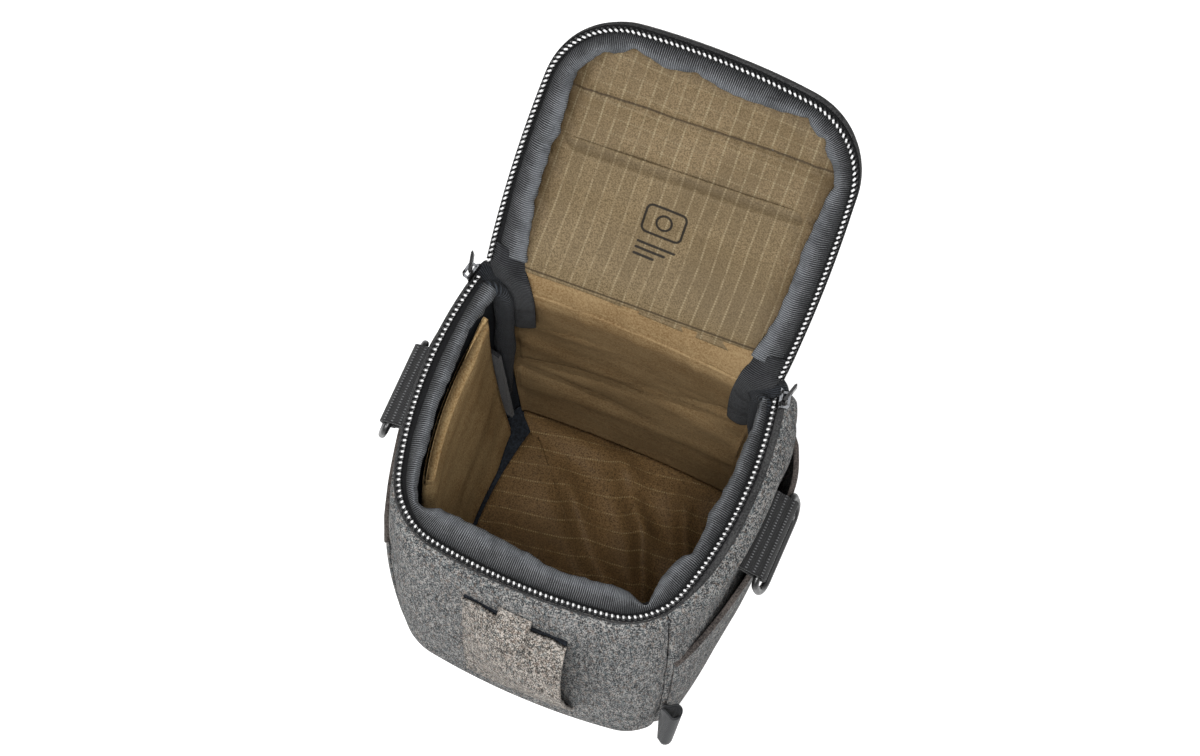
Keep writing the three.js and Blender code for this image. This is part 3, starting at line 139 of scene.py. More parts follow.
def rim_body(x, y, h=0.0):
    """Rim point in the pouch's frame: the rim's plane slopes up to the rear, h is above it."""
    return (x, y * math.cos(SLOPE) - h * math.sin(SLOPE),
            RIM_HEIGHT + y * math.sin(SLOPE) + h * math.cos(SLOPE))


def smooth(a, b, t):
    """From a to b with a soft start and end, as t goes from 0 to 1."""
    t = np.clip(t, 0, 1)
    return a + (b - a) * t * t * (3 - 2 * t)


def flare_at(k):
    """How far the wall's top stands outside the teeth: less along the left side."""
    step = np.mod(np.asarray(k, float), FULL)
    easing = np.where(step < LEFT_MIDDLE, 2.0, 5.0)
    return smooth(FLARE_LEFT, FLARE, (np.abs(step - LEFT_MIDDLE) - 2.5) / easing)


def on_rim_k(k, r, h):
    """Point at outline step k, r outwards from the teeth and h above the rim's plane."""
    x, y, nx, ny = outline(RIM_ARCS, k)
    return np.stack(np.broadcast_arrays(*rim_body(x + nx * r, y + ny * r, h)), -1)


def rim_top(k):
    """Height of the wall's top at outline step k."""
    return on_rim_k(k, flare_at(k), 0.0)[..., 2]


def wall(k, z, out):
    """Point of the wall at outline step k and height z, out from the CAD skin's face."""
    k, z, out = np.broadcast_arrays(np.asarray(k, float), np.asarray(z, float), np.asarray(out, float))
    lx, ly, lnx, lny = outline(FOOT_ARCS, k)
    hx, hy, hnx, hny = outline(RIM_ARCS, k)
    flare = flare_at(k)
    tx, ty, tz = rim_body(hx + hnx * flare, hy + hny * flare)
    s = z / tz
    swell = SWELL * np.sin(np.pi * np.clip(s, 0, 1))
    tuck = np.where(z < TUCK_HEIGHT, TUCK * (1 - z / TUCK_HEIGHT) ** 2, 0)
    nx, ny = lnx + (hnx - lnx) * s, lny + (hny - lny) * s
    off = out + swell - tuck
    return np.stack([lx + (tx - lx) * s + nx * off, ly + (ty - ly) * s + ny * off, z], -1)


def step_where(axis, value, lo, hi):
    """Step between lo and hi where the rim's x (axis 0) or y (axis 1) has this value."""
    ks = np.linspace(lo, hi, 4001)
    v = outline(RIM_ARCS, ks)[axis]
    return float(ks[np.argmin(np.abs(v - value))])


def run_length(k0, k1):
    """Millimetres along the rim between two steps."""
    ks = np.linspace(k0, k1, 200)
    x, y, _, _ = outline(RIM_ARCS, ks)
    return float(np.hypot(np.diff(x), np.diff(y)).sum())


def open_path(spec, stop, n):
    """Even samples from the rear left round the front to the rear right: point, normal, distance."""
    pts, nrm = [], []
    for c, r, a0, a1 in arcs(spec, stop):
        ang = np.linspace(a0, a1, 240)
        pts.append(np.stack([c[0] + r * np.cos(ang), c[1] + r * np.sin(ang)], -1))
        nrm.append(np.stack([np.cos(ang), np.sin(ang)], -1))
    p, q = np.concatenate(pts), np.concatenate(nrm)
    mirror = np.array([-1.0, 1.0])
    p, q = np.concatenate([p[::-1] * mirror, p]), np.concatenate([q[::-1] * mirror, q])
    d = along(p)
    s = np.linspace(0, d[-1], n)
    P = np.stack([np.interp(s, d, p[:, i]) for i in (0, 1)], -1)
    N = np.stack([np.interp(s, d, q[:, i]) for i in (0, 1)], -1)
    return P, N / np.linalg.norm(N, axis=1, keepdims=True), s


def on_rim(P, N, r, h):
    """r and h are (samples, columns); the result is (samples, columns, 3) in the pouch's frame."""
    x = P[:, None, 0] + N[:, None, 0] * r
    y = P[:, None, 1] + N[:, None, 1] * r
    return np.stack(np.broadcast_arrays(*rim_body(x, y, h)), -1)


HINGE = rim_body(0.0, HINGE_Y, HINGE_LIFT)
TURN = math.pi + SLOPE - LID_OPEN


def lid_body(x, u, h):
    """Lid point: x across, u away from the hinge, h towards the inside from the teeth's plane."""
    x, u, h = np.broadcast_arrays(np.asarray(x, float), np.asarray(u, float), np.asarray(h, float))
    z = h - HINGE_LIFT
    return np.stack([x, HINGE[1] + u * math.cos(TURN) - z * math.sin(TURN),
                     HINGE[2] + u * math.sin(TURN) + z * math.cos(TURN)], -1)


def on_lid(P, N, r, h):
    """The same for the lid, whose outline is drawn flat in front of the hinge."""
    x = P[:, None, 0] + N[:, None, 0] * r
    y = P[:, None, 1] + N[:, None, 1] * r
    return lid_body(x, -y, h)


def waves(s, seed, longest, count=5, fade=0.62):
    """Sum of sines with fixed pseudo-random phases, about -1 to 1."""
    rng = np.random.RandomState(seed)
    total, size, norm = np.zeros_like(np.asarray(s, float)), 1.0, 0.0
    for i in range(count):
        period = longest / (1.0 + 0.77 * i + 0.5 * rng.rand())
        total = total + size * np.sin(2 * np.pi * s / period + rng.rand() * 6.283)
        norm += size * 0.7
        size *= fade
    return total / norm


def curve(controls, m):
    """Catmull-Rom through (n, c, 2) controls, giving (n, m, 2)."""
    c = controls.shape[1]
    pad = np.concatenate([2 * controls[:, :1] - controls[:, 1:2], controls,
                          2 * controls[:, -1:] - controls[:, -2:-1]], 1)
    t = np.linspace(0, c - 1 - 1e-9, m)
    i = t.astype(int)
    f = (t - i)[None, :, None]
    p0, p1, p2, p3 = (pad[:, i + j] for j in range(4))
    return 0.5 * (2 * p1 + (p2 - p0) * f + (2 * p0 - 5 * p1 + 4 * p2 - p3) * f ** 2
                  + (3 * p1 - p0 - 3 * p2 + p3) * f ** 3)


# ---------------------------------------------------------------- mesh helpers
def make_mesh(name, verts_mm, faces, uvs=None):
    """Smooth-shaded object from points in millimetres, its faces turned outwards."""
    v = np.asarray(verts_mm, float).reshape(-1, 3) / 1000.0
    me = bpy.data.meshes.new(name)
    volume = 0.0
    for q in faces:
        a = v[q[0]]
        for i in range(1, len(q) - 1):
            b, c = v[q[i]], v[q[i + 1]]
            volume += (a[0] * (b[1] * c[2] - b[2] * c[1]) - a[1] * (b[0] * c[2] - b[2] * c[0])
                       + a[2] * (b[0] * c[1] - b[1] * c[0]))
    face_list = [tuple(int(i) for i in (q if volume > 0 else q[::-1])) for q in faces]
    me.from_pydata([tuple(p) for p in v], [], face_list)
    if uvs is not None:
        layer = me.uv_layers.new(name="UVMap")
        uv = np.asarray(uvs, float).reshape(-1, 2)
        idx = np.zeros(len(me.loops), np.int32)
        me.loops.foreach_get("vertex_index", idx)
        layer.data.foreach_set("uv", uv[idx].astype(np.float32).ravel())
    me.polygons.foreach_set("use_smooth", np.ones(len(me.polygons), bool))
    me.update()
    o = bpy.data.objects.new(name, me)
    bpy.context.scene.collection.objects.link(o)
    return o


def grid_faces(n, m, start=0, wrap_n=False, wrap_m=False):
    """Quads of an n by m grid of points, closed round either way on request."""
    i, j = np.meshgrid(np.arange(n if wrap_n else n - 1), np.arange(m if wrap_m else m - 1), indexing="ij")
    i, j = i.ravel(), j.ravel()
    a, b = i * m + j, i * m + (j + 1) % m
    c, d = ((i + 1) % n) * m + (j + 1) % m, ((i + 1) % n) * m + j
    return np.stack([a, b, c, d], -1) + start


def slab(name, A, B, uv=None):
    """Closed sheet between two grids of points of one shape."""
    n, m = A.shape[:2]
    size = n * m
    fa = grid_faces(n, m)
    fb = grid_faces(n, m, size)[:, ::-1]
    e = []
    for j in range(m - 1):
        e.append((j, size + j, size + j + 1, j + 1))
        q = (n - 1) * m + j
        e.append((q + 1, size + q + 1, size + q, q))
    for i in range(n - 1):
        e.append(((i + 1) * m, size + (i + 1) * m, size + i * m, i * m))
        q = i * m + m - 1
        e.append((q, size + q, size + q + m, q + m))
    faces = [*map(tuple, fa), *map(tuple, fb), *e]
    uvs = None if uv is None else np.concatenate([uv.reshape(-1, 2), uv.reshape(-1, 2)])
    return make_mesh(name, np.concatenate([A.reshape(-1, 3), B.reshape(-1, 3)]), faces, uvs)


def loft(name, sections, uv=None, closed=False):
    """Solid through ring sections (n, m, 3); the ends are closed by a face unless it is a loop."""
    n, m = sections.shape[:2]
    faces = [*map(tuple, grid_faces(n, m, wrap_n=closed, wrap_m=True))]
    if not closed:
        faces.append(tuple(range(m)))
        faces.append(tuple((n - 1) * m + j for j in range(m))[::-1])
    uvs = None if uv is None else uv.reshape(-1, 2)
    return make_mesh(name, sections, faces, uvs)


def normals_of(G):
    """Unit normals of a grid of points."""
    du = np.gradient(G, axis=0)
    dv = np.gradient(G, axis=1)
    q = np.cross(du, dv)
    return q / np.maximum(np.linalg.norm(q, axis=2, keepdims=True), 1e-9)


def along(points):
    """Distance run along a line of points."""
    return np.concatenate([[0], np.cumsum(np.linalg.norm(np.diff(points, axis=0), axis=1))])


def across_mean(G):
    """Mean distance run along a grid's second direction."""
    return np.concatenate([[0], np.cumsum(np.linalg.norm(np.diff(G, axis=1), axis=2).mean(0))])


def uv_grid(G):
    """UV in millimetres along the two directions of a grid."""
    return np.stack(np.meshgrid(across_mean(G.swapaxes(0, 1)), across_mean(G), indexing="ij"), -1)


def sheet_from(name, G, thick):
    """Cloth of the given thickness under the grid G, its edges pressed to less than half."""
    N = normals_of(G)
    w = np.ones(G.shape[:2])
    w[0, :] = w[-1, :] = w[:, 0] = w[:, -1] = 0.45
    ease = (w - 1)[..., None] * thick * 0.5
    return slab(name, G + N * ease, G + N * (ease - thick * w[..., None]), uv_grid(G))


def unit(vectors):
    """Vectors of length 1, along the last axis."""
    return vectors / np.linalg.norm(vectors, axis=-1, keepdims=True)


def dress(obj, material, body, *replaced, slot=None):
    """Gives a piece its material, the body it rides on and the nodes it stands for; slot is not used."""
    obj.data.materials.clear()
    obj.data.materials.append(material)
    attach(obj, body)
    if replaced:
        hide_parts(*replaced)
    return obj


# ---------------------------------------------------------------- materials
# Grain sizes and thread spacings are in millimetres, matched and not measured on the real cloth.
# A pixel at the photograph's distance covers 0.38 mm, so a finer grain would not show.
MM = 0.001  # object coordinates and bump heights are in metres, and UVs in millimetres
LAYER = dict(out=2, data_type="RGBA", clamp_result=True)  # a Mix node that lays one colour over another


def linear(code):
    """Shader colour for an sRGB hex code."""
    c = [int(code[i:i + 2], 16) / 255 for i in (0, 2, 4)]
    return tuple(x / 12.92 if x <= 0.04045 else ((x + 0.055) / 1.055) ** 2.4 for x in c) + (1.0,)


def grain(mm):
    """Noise scale whose grains are about this many millimetres wide."""
    return 1 / (mm * MM)


class Finish:
    """One material: its shader, the nodes that feed it, and the patterns they share."""

    def __init__(self, name, shader):
        self.material = bpy.data.materials.new(name)
        self.material.use_nodes = True
        self.tree = self.material.node_tree
        self.shader = self.tree.nodes["Principled BSDF"]
        for socket, value in shader.items():
            self.shader.inputs[socket].default_value = value
        self.place = self.add("TexCoord", out="Object")
        uv = self.add("TexCoord", out="UV")
        self.u, self.v = (self.add("SeparateXYZ", (uv,), out=i) for i in (0, 1))

    def add(self, kind, inputs=(), out=0, stops=(), **settings):
        """Adds a node with its settings and links, and gives one of its outputs."""
        node = self.tree.nodes.new("ShaderNode" + kind)
        for key, value in settings.items():
            setattr(node, key, value)
        for key, value in (inputs if isinstance(inputs, dict) else dict(enumerate(inputs))).items():
            if isinstance(value, bpy.types.NodeSocket):
                self.tree.links.new(value, node.inputs[key])
            else:
                node.inputs[key].default_value = linear(value) if isinstance(value, str) else value
        while stops and len(node.color_ramp.elements) < len(stops):
            node.color_ramp.elements.new(0.5)
        for element, (position, value) in zip(node.color_ramp.elements if stops else (), stops):
            element.position = position
            element.color = linear(value) if isinstance(value, str) else (value, value, value, 1)
        return node.outputs[out]

    def mottle(self, size, detail, rough, stretch=(1, 1, 1), shift=(0, 0, 0)):
        """Uneven specks of one size, in millimetres, stretched where a scale is under 1."""
        at = self.add("Mapping", {"Vector": self.place, "Scale": stretch, "Location": shift})
        return self.add("TexNoise", {"Vector": at, "Scale": grain(size), "Detail": detail, "Roughness": rough})

    def tint(self, base, colour, pattern, *stops):
        """The base with a second colour over it, as strong as the stops along the pattern say."""
        share = self.add("ValToRGB", (pattern,), stops=stops)
        return self.add("Mix", {0: share, 6: base, 7: colour}, **LAYER)

    def ribs(self, across, spacing, sharp=1.0):
        """0 to 1 over ribs that lie this many millimetres apart."""
        turns = self.add("Math", (across, 2 * math.pi / spacing), operation="MULTIPLY")
        wave = self.add("Math", (self.add("Math", (turns,), operation="SINE"), 0.5, 0.5), operation="MULTIPLY_ADD")
        return self.add("Math", (wave, sharp), operation="POWER") if sharp != 1.0 else wave

    def threads(self, across, spacing, width):
        """1 on thin threads that repeat, else 0, with soft edges."""
        off = self.add("Math", (across, spacing / 2), operation="PINGPONG")
        return self.add("MapRange", (off, 0.2 * width, 0.8 * width, 1.0, 0.0))

    def distance(self, value, at):
        return self.add("Math", (self.add("Math", (value, at), operation="SUBTRACT"),), operation="ABSOLUTE")

    def relief(self, *layers):
        """Bumps laid over each other: height, strength, depth in millimetres."""
        normal = None
        for height, strength, depth in layers:
            inputs = {"Height": height, "Strength": strength, "Distance": depth * MM}
            normal = self.add("Bump", inputs if normal is None else {**inputs, "Normal": normal})
        return normal

    def finish(self, links):
        for socket, value in links.items():
            self.tree.links.new(value, self.shader.inputs[socket])
        return self.material


def melange_knit(name, dark, low, high, light, brown=0.35):
    """Polyester knitted from mixed yarns: dull, a dark grey with light flecks and a few brown and blue yarns.

    The yarns' real thickness was not measured. They are drawn 0.43 mm wide, as fine as shows.
    """
    f = Finish(name, {"Roughness": 0.95, "Specular IOR Level": 0.12})
    yarn = f.mottle(0.435, 1.0, 0.5, stretch=(1, 1, 0.28))
    weft = f.mottle(0.435, 1.0, 0.5, stretch=(0.3, 0.3, 1))
    slub = f.mottle(1.43, 2.0, 0.6, stretch=(1, 1, 0.2))
    mixed = f.add("Math", (slub, 0.24), operation="MULTIPLY")
    for part, share in ((yarn, 0.46), (weft, 0.24), (f.mottle(16.7, 3.0, 0.5), 0.06)):
        mixed = f.add("Math", (part, share, mixed), operation="MULTIPLY_ADD")
    base = f.add("ValToRGB", (mixed,), stops=[(0.42, dark), (0.48, low), (0.52, high), (0.585, light)])
    dyed = f.mottle(1.11, 1.0, 0.5, stretch=(1, 1, 0.34), shift=(3, 5, 7))
    base = f.tint(base, "7a6b60", dyed, (0.57, 0.0), (0.66, brown))
    base = f.tint(base, "566063", dyed, (0.33, 0.4), (0.43, 0.0))
    crossing = f.add("Math", (yarn, 0.6, f.add("Math", (weft, 0.4), operation="MULTIPLY")), operation="MULTIPLY_ADD")
    return f.finish({"Base Color": base, "Normal": f.relief((crossing, 0.35, 0.4), (slub, 0.15, 0.6))})


RIBBON_WIDTH = 20.0


def grosgrain_ribbon(name, dark, mid, light, crest_highlight=None):
    """Nylon ribbon woven with cross ribs: slight sheen on the ribs, with painted shade beside the teeth and a painted
    highlight, paler and bluer, along the roll's crest towards its free edge.

    The ribs' real spacing was not measured. They are drawn 0.82 mm apart, chosen so that they show.
    """
    f = Finish(name, {"Roughness": 0.85, "Sheen Weight": 0.05, "Specular IOR Level": 0.2})
    wandering = f.add("Math", (f.mottle(4.17, 2.0, 0.5), 0.6, f.u), operation="MULTIPLY_ADD")
    rib, fuzz = f.ribs(wandering, 0.82, 1.2), f.mottle(0.435, 2.0, 0.6)
    woven = f.add("Math", (rib, 0.55, f.add("Math", (fuzz, 0.45), operation="MULTIPLY")), operation="MULTIPLY_ADD")
    base = f.add("ValToRGB", (woven,), stops=[(0.18, dark), (0.52, mid), (0.85, light)])
    if crest_highlight:
        # painted shade next to the teeth, then a painted highlight, paler and bluer, along the roll's crest
        across = f.add("Math", (f.v, RIBBON_WIDTH), operation="DIVIDE")
        base = f.tint(base, "111213", across, (0.08, 0.9), (0.44, 0.0))
        base = f.tint(base, crest_highlight, across, (0.38, 0.0), (0.58, 0.5), (0.76, 0.2))
    base = f.tint(base, dark, f.mottle(7.69, 3.0, 0.6), (0.36, 0.4), (0.55, 0.0))
    return f.finish({"Base Color": base, "Normal": f.relief((rib, 0.9, 0.4), (fuzz, 0.3, 0.2))})


def ripstop(name, base_code, line_code, dark_code, spacing=5.3, cross=0.2, along=0.6, tone=0.16, cross_from=70.0,
            seams=(), edge_shade=(), motif=None):
    """Coated nylon with heavier threads woven in: a faint gloss, dotted pale lines, every second stripe darker.

    cross and along are how strongly the two sets of lines show. A seam is (v, slope, width, strength); a narrow one
    darkens a seam's line, a wide, faint one is painted shade below a hem.
    """
    f = Finish(name, {"Roughness": 0.62, "Specular IOR Level": 0.16})
    sideways = f.add("Math", (f.mottle(33.3, 1.0, 0.5), 1.6, f.u), operation="MULTIPLY_ADD")
    broken = f.add("ValToRGB", (f.mottle(3.85, 2.0, 0.6),), stops=[(0.40, 0.35), (0.55, 1.0)])
    lines = []
    for across, gap, width, run, dots in ((sideways, spacing, 0.62, f.v, [(0.2, 0.3), (0.7, 1.0)]),
                                          (f.v, spacing * 1.1, 0.5, f.u, [(0.25, 0.1), (0.7, 1.0)])):
        thread = f.threads(across, gap, width)
        thread = f.add("Math", (thread, f.add("ValToRGB", (f.ribs(run, 0.95),), stops=dots)), operation="MULTIPLY")
        lines.append(f.add("Math", (thread, broken), operation="MULTIPLY"))
    speck = f.mottle(0.588, 2.0, 0.7)
    base = f.add("ValToRGB", (speck,), stops=[(0.36, dark_code), (0.60, base_code)])
    stripe = f.add("ValToRGB", (f.ribs(sideways, spacing * 2),), stops=[(0.42, 0.0), (0.58, 1.0)])
    base = f.add("Mix", {0: f.add("Math", (stripe, tone), operation="MULTIPLY"), 6: base, 7: dark_code}, **LAYER)
    base = f.tint(base, dark_code, f.mottle(33.3, 3.0, 0.55), (0.36, 0.45), (0.58, 0.0))
    base = f.add("Mix", {0: f.add("Math", (lines[0], along), operation="MULTIPLY"), 6: base, 7: line_code}, **LAYER)
    crossing = f.add("Math", (lines[1], cross), operation="MULTIPLY")
    beyond = f.add("MapRange", (f.v, cross_from - 60, cross_from, 0.35, 1.0))
    base = f.add("Mix", {0: f.add("Math", (crossing, beyond), operation="MULTIPLY"), 6: base, 7: line_code}, **LAYER)
    # narrow bands are the seams' dark lines; a wide, faint band is painted shade
    for at, slope, width, strength in seams:
        level = f.add("Math", (f.u, slope, at), operation="MULTIPLY_ADD")
        shaded = f.add("MapRange", (f.distance(f.v, level), width * 0.3, width, strength, 0.0))
        base = f.add("Mix", {0: shaded, 6: base, 7: "2b2114"}, **LAYER)
    # painted shade: brown towards the sides and the far end, where the lining dips under the binding
    if edge_shade:
        start, end, top = edge_shade
        sides = f.add("MapRange", (f.distance(f.u, 0.0), start, end, 0.0, 0.75))
        far = f.add("MapRange", (f.v, top, top + 9.0, 0.0, 0.6))
        base = f.add("Mix", {0: f.add("Math", (sides, far), operation="MAXIMUM"), 6: base, 7: "3a2a14"}, **LAYER)
    if motif:
        base = printed(f, base, *motif)
    both = f.add("Math", (lines[0], f.add("Math", (lines[1], 0.6), operation="MULTIPLY")), operation="ADD")
    creases = f.mottle(11.1, 4.0, 0.55)
    normal = f.relief((both, 0.4, 0.2), (speck, 0.25, 0.2), (creases, 0.35, 1.2))
    return f.finish({"Base Color": base, "Normal": normal})


def printed(f, base, centre_u, centre_v, ink):
    """A plain motif in thin ink lines: a rounded frame, a ring in it and three short bars below."""
    frame_corner, ring_radius, line = 2.2, 2.9, 0.95
    figures = [(0.0, 3.4, 5.6, 3.4, frame_corner, line), (0.0, 3.4, 0, 0, ring_radius, 0.9)]
    figures += [(x, y, half, 0, 0, 1.0) for x, y, half in ((0, -6.6, 7.2), (-1.6, -9.0, 5.6), (-3.4, -11.4, 3.8))]
    total = None
    for x, y, half_u, half_v, corner, width in figures:
        sides = []
        for value, at, half in ((f.u, centre_u + x, half_u), (f.v, centre_v + y, half_v)):
            beyond = f.add("Math", (f.distance(value, at), half), operation="SUBTRACT")
            beyond = f.add("Math", (beyond, 0.0), operation="MAXIMUM")
            sides.append(f.add("Math", (beyond, beyond), operation="MULTIPLY"))
        away = f.add("Math", (f.add("Math", tuple(sides), operation="ADD"),), operation="SQRT")
        mark = f.add("MapRange", (f.distance(away, corner), width * 0.35, width * 0.65, 1.0, 0.0))
        total = mark if total is None else f.add("Math", (total, mark), operation="MAXIMUM")
    return f.add("Mix", {0: f.add("Math", (total, 0.92), operation="MULTIPLY"), 6: base, 7: ink}, **LAYER)


def woven_cloth(name, dark, light, speck=0.556, roughness=0.9, sheen=0.2, strength=0.4, ribs=None,
                low=0.35, high=0.65, specular=0.25):
    """Plain woven nylon or polyester: matt, flecked by threads that are drawn as coarse as shows, their size chosen."""
    f = Finish(name, {"Roughness": roughness, "Sheen Weight": sheen, "Specular IOR Level": specular})
    fine = f.mottle(speck, 3.0, 0.65)
    broad = f.add("Math", (f.mottle(14.3, 3.0, 0.5), 0.25), operation="MULTIPLY")
    mixed, height = f.add("Math", (fine, 0.75, broad), operation="MULTIPLY_ADD"), fine
    if ribs:
        rib = f.ribs(f.u, ribs)
        mixed = f.add("Math", (rib, 0.3, f.add("Math", (mixed, 0.7), operation="MULTIPLY")), operation="MULTIPLY_ADD")
        height = f.add("Math", (rib, fine), operation="ADD")
    base = f.add("ValToRGB", (mixed,), stops=[(low, dark), (high, light)])
    return f.finish({"Base Color": base, "Normal": f.relief((height, strength, 0.3))})


def rear_lining_cloth(name, dark, light, line_code):
    """Thin khaki nylon, loosely sewn in: matt, faint level threads 6 mm apart, shallow creases."""
    f = Finish(name, {"Roughness": 0.7, "Specular IOR Level": 0.1})
    fine, broad = f.mottle(0.667, 3.0, 0.65), f.mottle(26.3, 3.0, 0.55)
    mixed = f.add("Math", (fine, 0.72, f.add("Math", (broad, 0.28), operation="MULTIPLY")), operation="MULTIPLY_ADD")
    base = f.add("ValToRGB", (mixed,), stops=[(0.36, dark), (0.60, light)])
    sagging = f.add("Math", (broad, 3.0, f.v), operation="MULTIPLY_ADD")
    broken = f.add("ValToRGB", (f.mottle(4.76, 2.0, 0.6),), stops=[(0.42, 0.1), (0.58, 1.0)])
    level = f.add("Math", (f.threads(sagging, 6.1, 0.8), broken), operation="MULTIPLY")
    base = f.add("Mix", {0: f.add("Math", (level, 0.22), operation="MULTIPLY"), 6: base, 7: line_code}, **LAYER)
    return f.finish({"Base Color": base, "Normal": f.relief((fine, 0.35, 0.3), (f.mottle(8.33, 4.0, 0.6), 0.35, 1.2))})


def smooth_black(name, code, worn, roughness):
    """Black acetal, moulded, or enamel over zinc: glossy, its gloss dulled in patches by handling."""
    f = Finish(name, {"Specular IOR Level": 0.6, "Coat Weight": 0.3})
    haze = f.mottle(1.11, 3.0, 0.6)
    dulled = f.add("ValToRGB", (haze,), stops=[(0.3, roughness * 0.8), (0.75, roughness * 1.5)])
    base = f.add("ValToRGB", (f.mottle(3.33, 2.0, 0.5),), stops=[(0.3, code), (0.8, worn)])
    return f.finish({"Base Color": base, "Roughness": dulled, "Normal": f.relief((haze, 0.08, 0.2))})


def coil_nylon(name):
    """Nylon monofilament wound into teeth: black and glossy, with a painted highlight, light grey in patches, on each
    turn's crest where the wire faces outwards.

    u is 1 on a turn's crest, v is 1 on the outside of the wire.
    """
    f = Finish(name, {"Roughness": 0.28, "Specular IOR Level": 0.7, "Coat Weight": 0.2})
    crest = f.add("ValToRGB", (f.u,), stops=[(0.89, 0.0), (0.96, 1.0)])
    outside = f.add("ValToRGB", (f.v,), stops=[(0.34, 0.0), (0.60, 1.0)])
    patchy = f.add("ValToRGB", (f.mottle(2.38, 2.0, 0.6),), stops=[(0.30, 0.6), (0.5, 1.0)])
    # painted highlight: the glint on each turn's outward crest, laid in as light grey colour
    glint = f.add("Math", (f.add("Math", (crest, outside), operation="MULTIPLY"), patchy), operation="MULTIPLY")
    black = f.add("Mix", {0: glint, 6: "08080a", 7: "d2d2d2"}, **LAYER)
    return f.finish({"Base Color": black, "Normal": f.relief((f.mottle(0.667, 2.0, 0.6), 0.1, 0.1))})


def slider_enamel(name):
    """Die-cast zinc under black enamel: glossy, with a painted reflection, silver in patches, on the faces that look
    up.
    """
    f = Finish(name, {"Roughness": 0.26, "Specular IOR Level": 0.6, "Metallic": 0.6, "Coat Weight": 0.2})
    # painted reflection: faces that look up turn silver, broken into patches
    up = f.add("SeparateXYZ", (f.add("NewGeometry", out="Normal"),), out=2)
    facing = f.add("ValToRGB", (up,), stops=[(0.55, 0.0), (0.8, 1.0)])
    patchy = f.add("ValToRGB", (f.mottle(3.03, 2.0, 0.6),), stops=[(0.40, 0.0), (0.52, 0.8)])
    base = f.add("Mix", {0: f.add("Math", (facing, patchy), operation="MULTIPLY"), 6: "0b0b0c", 7: "a2a4a8"}, **LAYER)
    return f.finish({"Base Color": base, "Normal": f.relief((f.mottle(1.11, 3.0, 0.6), 0.08, 0.2))})


def ladder_webbing(name):
    """Nylon webbing woven in ladder rows, 3.3 mm apart, over a slanting twill: black, with a painted sheen, pale grey,
    on the rows.
    """
    f = Finish(name, {"Roughness": 0.7, "Sheen Weight": 0.1, "Specular IOR Level": 0.4})
    row, rung = f.threads(f.v, 3.3, 1.0), f.ribs(f.u, 1.15, 2.0)
    ladder = f.add("Math", (row, rung), operation="MULTIPLY")
    twill = f.ribs(f.add("Math", (f.v, 0.9, f.u), operation="MULTIPLY_ADD"), 0.9)
    woven = f.add("Math", (ladder, 0.78, f.add("Math", (twill, 0.16), operation="MULTIPLY")), operation="MULTIPLY_ADD")
    # the pale grey top stop is a painted sheen on the ladder rows
    base = f.add("ValToRGB", (woven,), stops=[(0.02, "0a0a0b"), (0.30, "17181a"), (0.85, "77787a")])
    height = f.add("Math", (ladder, 1.4, twill), operation="MULTIPLY_ADD")
    return f.finish({"Base Color": base, "Normal": f.relief((height, 0.7, 0.4))})


LID_SEAM = (79.3, 0.06)  # v and slope of the lid lining's seam
POCKET_FOOT, POCKET_MOUTH = (5.9, 0.05), (57.4, 0.066)

